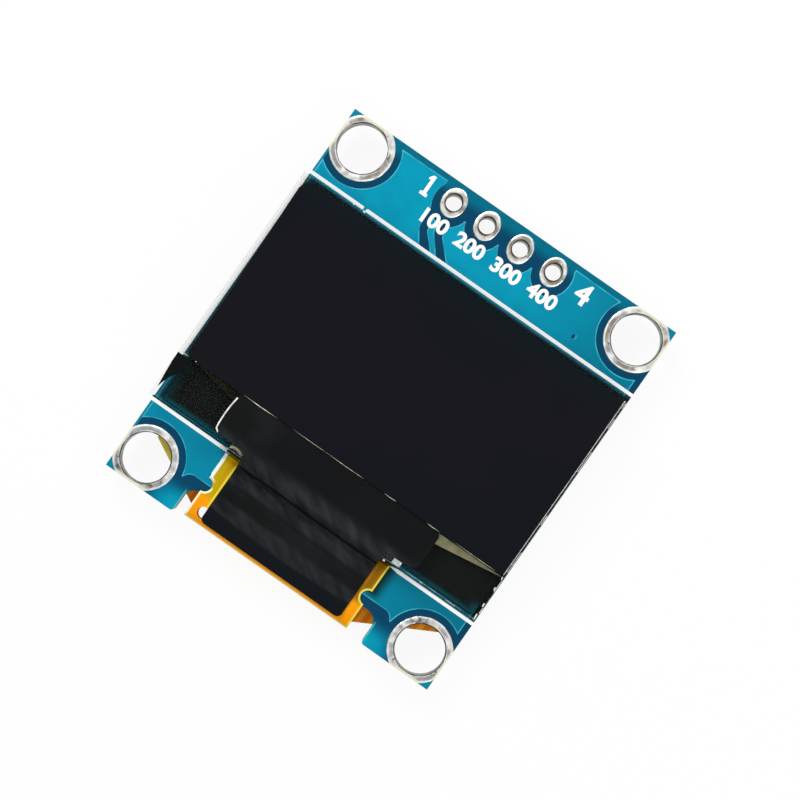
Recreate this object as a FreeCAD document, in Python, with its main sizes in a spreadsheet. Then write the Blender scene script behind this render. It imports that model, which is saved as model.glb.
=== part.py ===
import FreeCAD, Part
import math
import os
import Sketcher

# Small OLED display module: a blue circuit board that carries a glass display panel on its front,
# and a flex cable that leaves the panel's ledge, folds through a notch in the board and is soldered
# to the back.
# Millimetres. x runs across the board, y towards the edge with the header holes, and z out of the
# display's face. The origin is the centre of the four mounting holes, on the board's back face.

doc = FreeCAD.newDocument("DisplayModule")
sheet = doc.addObject("Spreadsheet::Sheet", "dim")

boardSizes = {
    "board_width": 24.6,
    "board_length": 27.3,
    "board_thick": 1.2,
    "notch_hole_gap": 3.3,
    "notch_depth": 1.97,
    "notch_round": 0.8,
    "notch_mouth_round": 0.25,
    "hole_inset": 1.8,
    "hole_radius": 1.6,
    "ring_radius": 2.1,
    "copper_thick": 0.05,
    "barrel_wall": 0.05,
    "barrel_fit": 0.01,
    "pin_count": 4,
    "pin_pitch": 2.54,
    "pin_inset": 1.3,
    "pin_hole_radius": 0.52,
    "pin_pad_width": 1.63,
    "pin_pad_length": 2.0,
    "pin_barrel_wall": 0.15,
}

panelSizes = {
    "panel_left_overhang": 0.22,
    "panel_right_inset": 0.08,
    "panel_top_inset": 5.14,
    "panel_foot_inset": 5.26,
    "ledge_length": 3.1,
    "foam_thick": 0.3,
    "foam_margin": 0.4,
    "cap_thick": 0.5,
    "seal_thick": 0.03,
    "seal_width": 0.75,
    "seal_margin": 0.15,
    "front_thick": 0.5,
    "glass_chamfer": 0.06,
    "recess_depth": 0.25,
    "desiccant_thick": 0.12,
    "desiccant_margin": 1.0,
    "active_side_margin": 1.5,
    "active_end_margin": 1.47,
    "active_thick": 0.02,
    "polar_thick": 0.18,
    "polar_cap_gap": 0.24,
    "polar_top_margin": 0.34,
    "polar_right_margin": 0.24,
    "polar_left_margin": 0.3,
    "polar_slant": 0.37,
    "polar_round": 0.8,
    "ledge_pad_thick": 0.35,
    "ledge_pad_top_gap": 0.1,
    "ledge_pad_foot_margin": 0.25,
    "ledge_pad_left_margin": 0.75,
    "ledge_pad_right_margin": 0.3,
    "chip_length": 6.8,
    "chip_width": 0.86,
    "chip_thick": 0.3,
    "chip_gap": 0.5,
    "film_thick": 0.02,
    "film_margin": 0.1,
}

flexSizes = {
    "flex_thick": 0.1,
    "flex_left_gap": 0.7,
    "flex_right_gap": 1.23,
    "flex_bond": 1.1,
    "flex_rise": 0.03,
    "tail_rise": 0.01,
    "step_start": 0.06,
    "step_radius": 0.35,
    "step_angle": 60,
    "fold_overhang": 0.2,
    "fold_ease_radius": 2.0,
    "fold_ease_angle": 25,
    "side_notch_radius": 0.48,
    "side_notch_inset": 2.58,
    "tooling_radius": 0.4,
    "tooling_edge": 0.95,
    "tooling_inset": 1.01,
    "tail_left_gap": 1.55,
    "tail_right_gap": 1.35,
    "tail_end": 8.7,
    "shoulder_angle": 28,
    "shoulder_clear": 1.12,
    "finger_pitch": 0.7,
    "finger_margin": 0.5,
    "finger_length": 1.7,
    "joint_width": 0.4,
    "joint_thick": 0.06,
    "joint_reach": 0.45,
    "joint_fit": 0.03,
}

tapeSizes = {
    "tape_thick": 0.08,
    "tape_wide_left_margin": 4.7,
    "tape_wide_right_margin": 4.8,
    "tape_wide_foot_margin": 0.45,
    "tape_left_margin": 1.055,
    "tape_right_margin": 0.765,
    "tape_polar_gap": 0.02,
    "tape_flex_gap": 0.01,
    "tape_step_start": 0.08,
    "tape_step_radius": 0.3,
    "tape_step_angle": 65,
    "tape_end_round": 0.5,
    "tape_corner_round": 0.4,
    "bead_out": 0.27,
    "bead_up": 0.34,
    "bead_shoulder_out": 0.16,
    "bead_shoulder_up": 0.24,
    "bead_side": 0.5,
}

partSizes = {
    "chip_part_length": 1.6,
    "chip_part_width": 0.8,
    "terminal_length": 0.32,
    "terminal_step": 0.025,
    "terminal_round": 0.07,
    "capacitor_high": 0.8,
    "resistor_high": 0.45,
    "pump_cap_count": 6,
    "pump_cap_margin": 3.8,
    "pump_row_gap": 2.4,
    "supply_cap_count": 2,
    "supply_cap_pitch": 2.4,
    "supply_cap_margin": 4.7,
    "resistor_count": 7,
    "resistor_margin": 4.2,
    "supply_row_gap": 4.6,
    "regulator_length": 2.9,
    "regulator_width": 1.3,
    "regulator_high": 1.0,
    "regulator_standoff": 0.08,
    "regulator_shift": -0.4,
    "lead_pitch": 0.95,
    "lead_width": 0.4,
    "lead_thick": 0.12,
    "lead_foot": 0.4,
    "lead_reach": 0.55,
    "lead_exit": 0.5,
    "diode_length": 1.7,
    "diode_width": 1.25,
    "diode_high": 0.9,
    "diode_margin": 6.1,
    "diode_lead_width": 0.3,
    "diode_lead_reach": 0.4,
    "diode_lead_thick": 0.12,
    "mould_draft": 7,
    "solder_high": 0.22,
    "solder_reach": 0.3,
    "solder_edge": 0.02,
}

row = 1
for group in (boardSizes, panelSizes, flexSizes, tapeSizes, partSizes):
    for alias, number in group.items():
        sheet.set("A%d" % row, alias)
        sheet.set("B%d" % row, str(number))
        sheet.setAlias("B%d" % row, alias)
        row += 1
doc.recompute()

# Places that several pieces share, as expressions on the sheet.
boardSide = "(dim.board_width / 2)"
headerEdge = "(dim.board_length / 2)"
notchLine = "(dim.notch_depth - dim.board_length / 2)"
notchSide = "(%s - dim.hole_inset - dim.notch_hole_gap)" % boardSide
pinLine = "(%s - dim.pin_inset)" % headerEdge
foamTop = "(dim.board_thick + dim.foam_thick)"
capTop = "(%s + dim.cap_thick)" % foamTop
frontLow = "(%s + dim.seal_thick)" % capTop
frontTop = "(%s + dim.front_thick)" % frontLow
panelLeft = "(-%s - dim.panel_left_overhang)" % boardSide
panelRight = "(%s - dim.panel_right_inset)" % boardSide
panelMiddle = "((%s + %s) / 2)" % (panelLeft, panelRight)
panelTop = "(%s - dim.panel_top_inset)" % headerEdge
panelFoot = "(dim.panel_foot_inset - %s)" % headerEdge
capFoot = "(%s + dim.ledge_length)" % panelFoot
chipTop = "(%s - dim.chip_gap)" % capFoot
polarFoot = "(%s + dim.polar_cap_gap)" % capFoot

# The flex cable's middle surface: under the ledge, on the board's front, and on its back.
flexUnderLedge = "(%s - dim.film_thick - dim.flex_thick / 2)" % frontLow
flexOnBoard = "(dim.board_thick + dim.flex_rise + dim.flex_thick / 2)"
flexLow = "(dim.copper_thick + dim.tail_rise + dim.flex_thick)"
flexBehind = "(dim.flex_thick / 2 - %s)" % flexLow
foldHeight = "(%s - %s)" % (flexOnBoard, flexBehind)
foldEaseDrop = "(dim.fold_ease_radius * (1 - cos(dim.fold_ease_angle)))"
foldEaseRun = "(dim.fold_ease_radius * sin(dim.fold_ease_angle))"
foldRadius = "((%s / 2 - %s) / cos(dim.fold_ease_angle))" % (foldHeight, foldEaseDrop)
foldTip = "(dim.fold_overhang - %s)" % headerEdge
foldRun = "(%s + %s * (1 - sin(dim.fold_ease_angle)) + dim.flex_thick / 2)" % (foldEaseRun, foldRadius)
foldStart = "(%s + %s)" % (foldTip, foldRun)
foldMiddle = "((%s + %s) / 2)" % (flexOnBoard, flexBehind)
tailEnd = "(dim.tail_end - %s)" % headerEdge
flexLeft = "(dim.flex_left_gap - %s)" % notchSide
flexRight = "(%s - dim.flex_right_gap)" % notchSide
tailLeft = "(dim.tail_left_gap - %s)" % boardSide
tailRight = "(%s - dim.tail_right_gap)" % boardSide
fingerCount = "floor((%s - %s - 2 * dim.finger_margin) / dim.finger_pitch + 1)" % (tailRight, tailLeft)

# The rows of parts on the board's back, from the flex cable's tail up to the header.
pumpRow = "(%s + dim.pump_row_gap)" % tailEnd
supplyRow = "(%s - dim.supply_row_gap)" % pinLine
resistorRow = "((%s + %s) / 2)" % (pumpRow, supplyRow)
diodePlace = "(dim.diode_margin - %s)" % boardSide

# The sides of the board on which its four mounting holes lie.
corners = [(-1, 1), (1, 1), (-1, -1), (1, -1)]


def amount(item, text):
    return float(item.evalExpression(text))


def newBody(label, group=False):
    body = doc.addObject("PartDesign::Body", label)
    body.Label = label
    body.AllowCompound = group
    return body


def originFeature(body, role):
    return next(item for item in body.Origin.OriginFeatures if item.Role == role)


def newSketch(body, name, height="0", role="XY_Plane"):
    sketch = body.newObject("Sketcher::SketchObject", name)
    sketch.AttachmentSupport = [(originFeature(body, role), "")]
    sketch.MapMode = "FlatFace"
    sketch.setExpression(".AttachmentOffset.Base.z", height)
    return sketch


def bind(sketch, kind, places, text):
    number = amount(sketch, text)
    if kind == "Angle":
        number = math.radians(number)
    spot = sketch.addConstraint(Sketcher.Constraint(kind, *places, number))
    sketch.setExpression("Constraints[%d]" % spot, text)


def pin(sketch, piece, end, point):
    bind(sketch, "DistanceX", (-1, 1, piece, end), point[0])
    bind(sketch, "DistanceY", (-1, 1, piece, end), point[1])


def polygon(sketch, points):
    first = sketch.GeometryCount
    count = len(points)
    spots = [FreeCAD.Vector(amount(sketch, x), amount(sketch, y), 0) for x, y in points]
    for i in range(count):
        sketch.addGeometry(Part.LineSegment(spots[i], spots[(i + 1) % count]))
    for i in range(count):
        sketch.addConstraint(Sketcher.Constraint("Coincident", first + i, 2, first + (i + 1) % count, 1))
    for i in range(count):
        pin(sketch, first + i, 1, points[i])


def rectangle(sketch, left, right, foot, top):
    polygon(sketch, [(left, foot), (right, foot), (right, top), (left, top)])


def circle(sketch, x, y, radius):
    centre = FreeCAD.Vector(amount(sketch, x), amount(sketch, y), 0)
    ring = sketch.addGeometry(Part.Circle(centre, FreeCAD.Vector(0, 0, 1), amount(sketch, radius)))
    pin(sketch, ring, 3, (x, y))
    bind(sketch, "Radius", (ring,), radius)


def oblong(sketch, width, length):
    # two round ends joined by straight sides, longer in y
    radius = amount(sketch, width) / 2
    half = amount(sketch, length) / 2 - radius
    up = FreeCAD.Vector(0, 0, 1)
    ends = []
    for side, start in ((1, 0), (-1, math.pi)):
        ring = Part.Circle(FreeCAD.Vector(0, side * half, 0), up, radius)
        ends.append(sketch.addGeometry(Part.ArcOfCircle(ring, start, start + math.pi)))
    for side in (-1, 1):
        # the left side runs down from the upper end, the right side up from the lower one
        line = sketch.addGeometry(Part.LineSegment(
            FreeCAD.Vector(side * radius, -side * half, 0), FreeCAD.Vector(side * radius, side * half, 0)))
        before, after = ends if side < 0 else ends[::-1]
        sketch.addConstraint(Sketcher.Constraint("Tangent", before, 2, line, 1))
        sketch.addConstraint(Sketcher.Constraint("Tangent", line, 2, after, 1))
    for side, end in zip((1, -1), ends):
        pin(sketch, end, 3, ("0", "%d * (%s - %s) / 2" % (side, length, width)))
    bind(sketch, "Radius", (ends[0],), "%s / 2" % width)


def pad(body, sketch, length, down=False, draft=None):
    feature = body.newObject("PartDesign::Pad", sketch.Name + "_pad")
    feature.Profile = sketch
    feature.setExpression("Length", length)
    feature.Reversed = down
    if draft:
        feature.setExpression("TaperAngle", "-" + draft)
    sketch.Visibility = False
    return feature


def pocket(body, sketch, length, up=False):
    feature = body.newObject("PartDesign::Pocket", sketch.Name + "_cut")
    feature.Profile = sketch
    feature.setExpression("Length", length)
    feature.Reversed = up
    sketch.Visibility = False
    return feature


def uprightEdges(shape, points):
    # names of the edges along z that stand over the given points
    names = []
    for number, edge in enumerate(shape.Edges, 1):
        box = edge.BoundBox
        if box.XLength + box.YLength > 1e-4:
            continue
        if any(abs(box.XMin - x) + abs(box.YMin - y) < 1e-3 for x, y in points):
            names.append("Edge%d" % number)
    return names


def dress(body, kind, sizeName, text, names):
    base = body.Tip
    feature = body.newObject("PartDesign::" + kind, body.Name + "_" + kind.lower())
    feature.Base = (base, names)
    feature.setExpression(sizeName, text)
    return feature


def roundUpright(body, text, points):
    doc.recompute()
    spots = [(amount(body, x), amount(body, y)) for x, y in points]
    return dress(body, "Fillet", "Radius", text, uprightEdges(body.Shape, spots))


def slab(label, left, right, foot, top, low, thick):
    piece = doc.addObject("Part::Box", label)
    piece.Label = label
    piece.setExpression("Length", "(%s) - (%s)" % (right, left))
    piece.setExpression("Width", "(%s) - (%s)" % (top, foot))
    piece.setExpression("Height", thick)
    piece.setExpression(".Placement.Base.x", left)
    piece.setExpression(".Placement.Base.y", foot)
    piece.setExpression(".Placement.Base.z", low)
    return piece


# A bend line is drawn as a pen would draw it: straight runs and bends, each tangent to the last.
# A run is (length,), and a bend is (radius, angle, side), with side 1 to the left and -1 to the right.
def bendLine(sketch, start, heading, moves):
    x = amount(sketch, start[0])
    y = amount(sketch, start[1])
    turn = heading
    last = None
    for move in moves:
        if len(move) == 1:
            run = amount(sketch, move[0])
            end = (x + run * math.cos(turn), y + run * math.sin(turn))
            piece = sketch.addGeometry(Part.LineSegment(FreeCAD.Vector(x, y, 0), FreeCAD.Vector(*end, 0)))
            first, final = 1, 2
            if last is None:
                sketch.addConstraint(Sketcher.Constraint("Horizontal", piece))
            bind(sketch, "Distance", (piece, 1, piece, 2), move[0])
        else:
            radius = amount(sketch, move[0])
            angle = math.radians(amount(sketch, move[1]))
            side = move[2]
            centre = (x - side * radius * math.sin(turn), y + side * radius * math.cos(turn))
            leave = math.atan2(y - centre[1], x - centre[0])
            arrive = leave + side * angle
            ring = Part.Circle(FreeCAD.Vector(*centre, 0), FreeCAD.Vector(0, 0, 1), radius)
            piece = sketch.addGeometry(Part.ArcOfCircle(ring, min(leave, arrive), max(leave, arrive)))
            first, final = (1, 2) if side > 0 else (2, 1)
            end = (centre[0] + radius * math.cos(arrive), centre[1] + radius * math.sin(arrive))
            turn += side * angle
            bind(sketch, "Radius", (piece,), move[0])
            bind(sketch, "Angle", (piece,), "%s * 1 deg" % move[1])
        if last is None:
            pin(sketch, piece, first, start)
        else:
            sketch.addConstraint(Sketcher.Constraint("Tangent", last[0], last[1], piece, first))
        last = (piece, final)
        x, y = end


def sweep(body, section, path):
    feature = body.newObject("PartDesign::AdditivePipe", path.Name + "_sheet")
    feature.Profile = section
    feature.Spine = path
    section.Visibility = False
    path.Visibility = False
    return feature


def circuitBoard():
    body = newBody("circuit_board")
    outline = newSketch(body, "board_outline")
    polygon(outline, [
        ("-" + boardSide, "-" + headerEdge),
        ("-" + notchSide, "-" + headerEdge),
        ("-" + notchSide, notchLine),
        (notchSide, notchLine),
        (notchSide, "-" + headerEdge),
        (boardSide, "-" + headerEdge),
        (boardSide, headerEdge),
        ("-" + boardSide, headerEdge),
    ])
    pad(body, outline, "dim.board_thick")
    drilled = newSketch(body, "mounting_holes")
    for x, y in corners:
        circle(drilled, *holeCentre(x, y), "dim.hole_radius + dim.barrel_wall + dim.barrel_fit")
    pocket(body, drilled, "dim.board_thick", up=True)
    pinHole = newSketch(body, "header_hole")
    circle(pinHole, pinPlace(0), pinLine, "dim.pin_hole_radius + dim.pin_barrel_wall + dim.barrel_fit")
    first = pocket(body, pinHole, "dim.board_thick", up=True)
    pattern = body.newObject("PartDesign::LinearPattern", "header_holes")
    pattern.Originals = [first]
    pattern.Direction = (pinHole, ["H_Axis"])
    pattern.setExpression("Length", "dim.pin_pitch * (dim.pin_count - 1)")
    pattern.setExpression("Occurrences", "dim.pin_count")
    body.Tip = pattern
    roundUpright(body, "dim.notch_round", [("-" + notchSide, notchLine), (notchSide, notchLine)])
    mouth = [("-" + notchSide, "-" + headerEdge), (notchSide, "-" + headerEdge)]
    roundUpright(body, "dim.notch_mouth_round", mouth)
    return body


def holeCentre(x, y):
    return ("%d * (%s - dim.hole_inset)" % (x, boardSide), "%d * (%s - dim.hole_inset)" % (y, headerEdge))


def pinPlace(number):
    return "((%d - (dim.pin_count - 1) / 2) * dim.pin_pitch)" % number


# A mounting hole's plating: an eyelet turned about the hole, cut off flush where it meets the edges.
def mountingPad(number, side, end):
    body = newBody("mounting_pad_%d" % number)
    section = newSketch(body, "eyelet_section_%d" % number, role="XZ_Plane")
    barrel = "dim.hole_radius + dim.barrel_wall"
    top = "dim.board_thick"
    polygon(section, [
        ("dim.hole_radius", "-dim.copper_thick"),
        ("dim.ring_radius", "-dim.copper_thick"),
        ("dim.ring_radius", "0"),
        (barrel, "0"),
        (barrel, top),
        ("dim.ring_radius", top),
        ("dim.ring_radius", top + " + dim.copper_thick"),
        ("dim.hole_radius", top + " + dim.copper_thick"),
    ])
    eyelet = body.newObject("PartDesign::Revolution", "eyelet_%d" % number)
    eyelet.Profile = section
    eyelet.ReferenceAxis = (originFeature(body, "Z_Axis"), [""])
    eyelet.Angle = 360
    section.Visibility = False
    trim = newSketch(body, "edge_trim_%d" % number, top + " + 2 * dim.copper_thick")
    inset = "dim.hole_inset"
    far = "2 * dim.ring_radius"
    beyond = [(inset, "-" + far), (far, "-" + far), (far, far),
              ("-" + far, far), ("-" + far, inset), (inset, inset)]
    polygon(trim, [("%d * (%s)" % (side, x), "%d * (%s)" % (end, y)) for x, y in beyond])
    pocket(body, trim, top + " + 4 * dim.copper_thick")
    x, y = holeCentre(side, end)
    body.setExpression(".Placement.Base.x", x)
    body.setExpression(".Placement.Base.y", y)
    return body


# A header hole's plating: the barrel with the tin that lines it, and an oval land on each face.
def headerPad(number):
    body = newBody("header_pad_%d" % (number + 1))
    tag = "_%d" % (number + 1)
    barrel = newSketch(body, "pin_barrel" + tag)
    circle(barrel, "0", "0", "dim.pin_hole_radius + dim.pin_barrel_wall")
    pad(body, barrel, "dim.board_thick")
    for name, height, down in (("front_land", "dim.board_thick", False), ("back_land", "0", True)):
        land = newSketch(body, name + tag, height)
        oblong(land, "dim.pin_pad_width", "dim.pin_pad_length")
        pad(body, land, "dim.copper_thick", down=down)
    hole = newSketch(body, "pin_bore" + tag, "-2 * dim.copper_thick")
    circle(hole, "0", "0", "dim.pin_hole_radius")
    pocket(body, hole, "dim.board_thick + 4 * dim.copper_thick", up=True)
    body.setExpression(".Placement.Base.x", pinPlace(number))
    body.setExpression(".Placement.Base.y", pinLine)
    return body


def foamTape():
    return slab("foam_tape", panelLeft + " + dim.foam_margin", panelRight + " - dim.foam_margin",
                capFoot + " + dim.foam_margin", panelTop + " - dim.foam_margin",
                "dim.board_thick", "dim.foam_thick")


# The cap glass is etched hollow over the pixels, and the drying sheet lies in the hollow.
def backGlass():
    body = newBody("back_glass")
    outline = newSketch(body, "cap_outline", foamTop)
    rectangle(outline, panelLeft, panelRight, capFoot, panelTop)
    pad(body, outline, "dim.cap_thick")
    hollow = newSketch(body, "cap_hollow", capTop)
    rectangle(hollow, *hollowEdges("dim.seal_width"))
    pocket(body, hollow, "dim.recess_depth")
    return body


def hollowEdges(margin):
    return (panelLeft + " + " + margin, panelRight + " - " + margin,
            capFoot + " + " + margin, panelTop + " - " + margin)


def desiccantSheet():
    edges = hollowEdges("(dim.seal_width + dim.desiccant_margin)")
    return slab("desiccant_sheet", *edges, capTop + " - dim.recess_depth", "dim.desiccant_thick")


def perimeterSeal():
    body = newBody("perimeter_seal")
    frame = newSketch(body, "seal_frame", capTop)
    rectangle(frame, *hollowEdges("dim.seal_margin"))
    rectangle(frame, *hollowEdges("dim.seal_width"))
    pad(body, frame, "dim.seal_thick")
    return body


def emitterLayers():
    return slab("emitter_layers", panelLeft + " + dim.active_side_margin",
                panelRight + " - dim.active_side_margin",
                capFoot + " + dim.active_end_margin", panelTop + " - dim.active_end_margin",
                frontLow + " - dim.active_thick", "dim.active_thick")


def frontGlass():
    body = newBody("front_glass")
    outline = newSketch(body, "front_outline", frontLow)
    rectangle(outline, panelLeft, panelRight, panelFoot, panelTop)
    pad(body, outline, "dim.front_thick")
    doc.recompute()
    top = amount(body, frontTop)
    edges = [number for number, edge in enumerate(body.Shape.Edges, 1)
             if abs(edge.BoundBox.ZMin - top) + abs(edge.BoundBox.ZMax - top) < 1e-3]
    dress(body, "Chamfer", "Size", "dim.glass_chamfer", ["Edge%d" % number for number in edges])
    return body


# The polarizer is laid on by hand: its left edge runs a little out of square.
def polarizer():
    body = newBody("polarizer")
    outline = newSketch(body, "polarizer_outline", frontTop)
    left = panelLeft + " + dim.polar_left_margin"
    right = panelRight + " - dim.polar_right_margin"
    top = panelTop + " - dim.polar_top_margin"
    slanted = left + " + dim.polar_slant"
    polygon(outline, [(slanted, polarFoot), (right, polarFoot), (right, top), (left, top)])
    pad(body, outline, "dim.polar_thick")
    roundUpright(body, "dim.polar_round", [(left, top)])
    return body


def ledgePad():
    return slab("ledge_pad", panelLeft + " + dim.ledge_pad_left_margin",
                panelRight + " - dim.ledge_pad_right_margin", panelFoot + " + dim.ledge_pad_foot_margin",
                capFoot + " - dim.ledge_pad_top_gap", "dim.board_thick", "dim.ledge_pad_thick")


def driverChip():
    return slab("driver_chip", panelMiddle + " - dim.chip_length / 2",
                panelMiddle + " + dim.chip_length / 2",
                chipTop + " - dim.chip_width", chipTop,
                frontLow + " - dim.film_thick - dim.chip_thick", "dim.chip_thick")


def chipBondFilm():
    return slab("chip_bond_film", panelMiddle + " - dim.chip_length / 2 - dim.film_margin",
                panelMiddle + " + dim.chip_length / 2 + dim.film_margin",
                chipTop + " - dim.chip_width - dim.film_margin", chipTop + " + dim.film_margin",
                frontLow + " - dim.film_thick", "dim.film_thick")


def flexBondFilm():
    return slab("flex_bond_film", flexLeft, flexRight, panelFoot + " + dim.film_margin",
                panelFoot + " + dim.flex_bond", frontLow + " - dim.film_thick", "dim.film_thick")


# Runs and bends of a sheet that steps down from one level to another.
def stepDown(drop, radius, angle):
    straight = "((%s - 2 * %s * (1 - cos(%s))) / sin(%s))" % (drop, radius, angle, angle)
    return [(radius, angle, 1), (straight,), (radius, angle, -1)]


def stepRun(drop, radius, angle):
    curves = "2 * %s * sin(%s)" % (radius, angle)
    return "(%s + (%s - 2 * %s * (1 - cos(%s))) / tan(%s))" % (curves, drop, radius, angle, angle)


# The flex cable is one sheet. Its bend line runs out from under the ledge, steps down to the board,
# passes over the notch, folds back under the board and ends at the row of soldered fingers. The sheet
# is swept at the tail's full width, and each layer is then cut to its own outline.
def flexCable():
    body = newBody("flex_cable")
    start = panelFoot + " + dim.flex_bond"
    drop = "(%s - %s)" % (flexUnderLedge, flexOnBoard)
    steps = stepDown(drop, "dim.step_radius", "dim.step_angle")
    onBoard = "(%s - dim.step_start - %s - %s)" % (
        panelFoot, stepRun(drop, "dim.step_radius", "dim.step_angle"), foldStart)
    ease = ("dim.fold_ease_radius", "dim.fold_ease_angle", 1)
    turn = (foldRadius, "(180 - 2 * dim.fold_ease_angle)", 1)
    path = newSketch(body, "flex_bend_line", role="YZ_Plane")
    bendLine(path, (start, flexUnderLedge), math.pi, [
        ("(dim.flex_bond + dim.step_start)",), *steps, (onBoard,), ease, turn, ease,
        ("(%s - %s)" % (tailEnd, foldStart),)])
    section = newSketch(body, "flex_section", "-(%s)" % start, role="XZ_Plane")
    rectangle(section, tailLeft, tailRight, flexUnderLedge + " - dim.flex_thick / 2",
              flexUnderLedge + " + dim.flex_thick / 2")
    sweep(body, section, path)

    beyond = "dim.board_length"
    strip = newSketch(body, "front_strip_trim", foldMiddle)
    rectangle(strip, "-" + beyond, flexLeft, "-" + beyond, beyond)
    rectangle(strip, flexRight, beyond, "-" + beyond, beyond)
    pocket(body, strip, "dim.board_length", up=True)

    # each shoulder is a straight cut that passes the mounting hole's centre at a set distance
    shoulders = newSketch(body, "tail_trim", foldMiddle)
    slope = "tan(dim.shoulder_angle)"
    for side, edge, tail in ((-1, flexLeft, tailLeft), (1, flexRight, tailRight)):
        x, y = holeCentre(side, -1)
        level = "(%s + dim.shoulder_clear / cos(dim.shoulder_angle)" % y
        outer = "%s + %s * (%s - (%s)) * %d)" % (level, slope, tail, x, side)
        inner = "%s + %s * (%s - (%s)) * %d)" % (level, slope, edge, x, side)
        wide = "%d * %s" % (side, beyond)
        points = [(tail, outer), (edge, inner), (edge, "-" + beyond), (wide, "-" + beyond), (wide, outer)]
        polygon(shoulders, points if side < 0 else points[::-1])
    pocket(body, shoulders, "dim.board_length")

    notches = newSketch(body, "side_notches", foldMiddle)
    for edge in (flexLeft, flexRight):
        circle(notches, edge, "(dim.side_notch_inset - %s)" % headerEdge, "dim.side_notch_radius")
    pocket(body, notches, "dim.board_thick", up=True)
    tooling = newSketch(body, "tooling_hole", "-dim.board_thick")
    circle(tooling, flexLeft + " + dim.tooling_edge", "(dim.tooling_inset - %s)" % headerEdge,
           "dim.tooling_radius")
    pocket(body, tooling, "4 * dim.board_thick", up=True)
    return body


# Each finger of the tail is soldered to its land: a bar over the finger and a toe on the board.
def flexSolderJoints():
    body = newBody("flex_solder_joints", group=True)
    rowLength = "(dim.finger_pitch * (%s - 1))" % fingerCount
    first = "((%s + %s - %s - dim.joint_width) / 2)" % (tailLeft, tailRight, rowLength)
    profile = newSketch(body, "joint_profile", first, role="YZ_Plane")
    low = "-" + flexLow
    face = "(%s - dim.joint_thick)" % low
    near = tailEnd + " + dim.joint_fit"
    far = tailEnd + " + dim.joint_reach"
    polygon(profile, [
        (far, "0"), (near, "0"), (near, low), (tailEnd + " - dim.finger_length", low),
        (tailEnd + " - dim.finger_length", face), (near + " + dim.joint_thick", face),
        (far, "-dim.joint_thick"),
    ])
    bar = pad(body, profile, "dim.joint_width")
    pattern = body.newObject("PartDesign::LinearPattern", "joint_row")
    pattern.Originals = [bar]
    pattern.Direction = (originFeature(body, "X_Axis"), [""])
    pattern.setExpression("Length", rowLength)
    pattern.setExpression("Occurrences", fingerCount)
    body.Tip = pattern
    return body


# The light shield: a wide part on the ledge, and a strip that steps down and covers the flex.
def frontTape():
    body = newBody("front_tape")
    half = "dim.tape_thick / 2"
    high = "(%s + %s)" % (frontTop, half)
    low = "(%s + dim.flex_thick / 2 + dim.tape_flex_gap + %s)" % (flexOnBoard, half)
    drop = "(%s - %s)" % (high, low)
    top = "(%s - dim.tape_polar_gap)" % polarFoot
    onFlex = "(%s - dim.tape_step_start - %s - %s)" % (
        panelFoot, stepRun(drop, "dim.tape_step_radius", "dim.tape_step_angle"), foldStart)
    overFold = "(dim.fold_ease_radius + dim.flex_thick / 2 + dim.tape_flex_gap + %s)" % half
    path = newSketch(body, "tape_bend_line", role="YZ_Plane")
    bendLine(path, (top, high), math.pi, [
        ("(%s - %s + dim.tape_step_start)" % (top, panelFoot),),
        *stepDown(drop, "dim.tape_step_radius", "dim.tape_step_angle"),
        (onFlex,), (overFold, "dim.fold_ease_angle", 1)])
    left = "(%s + dim.tape_left_margin)" % flexLeft
    right = "(%s - dim.tape_right_margin)" % flexRight
    section = newSketch(body, "tape_section", "-" + top, role="XZ_Plane")
    rectangle(section, left, right, frontTop, frontTop + " + dim.tape_thick")
    sweep(body, section, path)
    wide = newSketch(body, "tape_wide_part", frontTop)
    wideLeft = "(%s + dim.tape_wide_left_margin)" % panelLeft
    wideRight = "(%s - dim.tape_wide_right_margin)" % panelRight
    wideFoot = "(%s + dim.tape_wide_foot_margin)" % panelFoot
    rectangle(wide, wideLeft, wideRight, wideFoot, top)
    pad(body, wide, "dim.tape_thick")
    roundUpright(body, "dim.tape_corner_round", [(wideLeft, top), (wideRight, wideFoot)])
    doc.recompute()
    tip = body.Shape.BoundBox.YMin
    ends = [amount(body, left), amount(body, right)]
    names = []
    for number, edge in enumerate(body.Shape.Edges, 1):
        box = edge.BoundBox
        if box.XLength < 1e-4 and box.YMax < tip + 2 * amount(body, "dim.tape_thick"):
            if min(abs(box.XMin - x) for x in ends) < 1e-4:
                names.append("Edge%d" % number)
    dress(body, "Fillet", "Radius", "dim.tape_end_round", names)
    return body


# A bead of clear sealant in the corner between the ledge's end and the flex.
def jointSealant():
    body = newBody("joint_sealant")
    profile = newSketch(body, "bead_profile", flexLeft + " - dim.bead_side", role="YZ_Plane")
    out = panelFoot + " - dim.bead_out"
    polygon(profile, [
        (panelFoot, frontLow), (panelFoot, frontLow + " + dim.bead_up"),
        (panelFoot + " - dim.bead_shoulder_out", frontLow + " + dim.bead_shoulder_up"), (out, frontLow),
    ])
    pad(body, profile, "%s - %s + dim.bead_side" % (flexRight, flexLeft))
    return body


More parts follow.
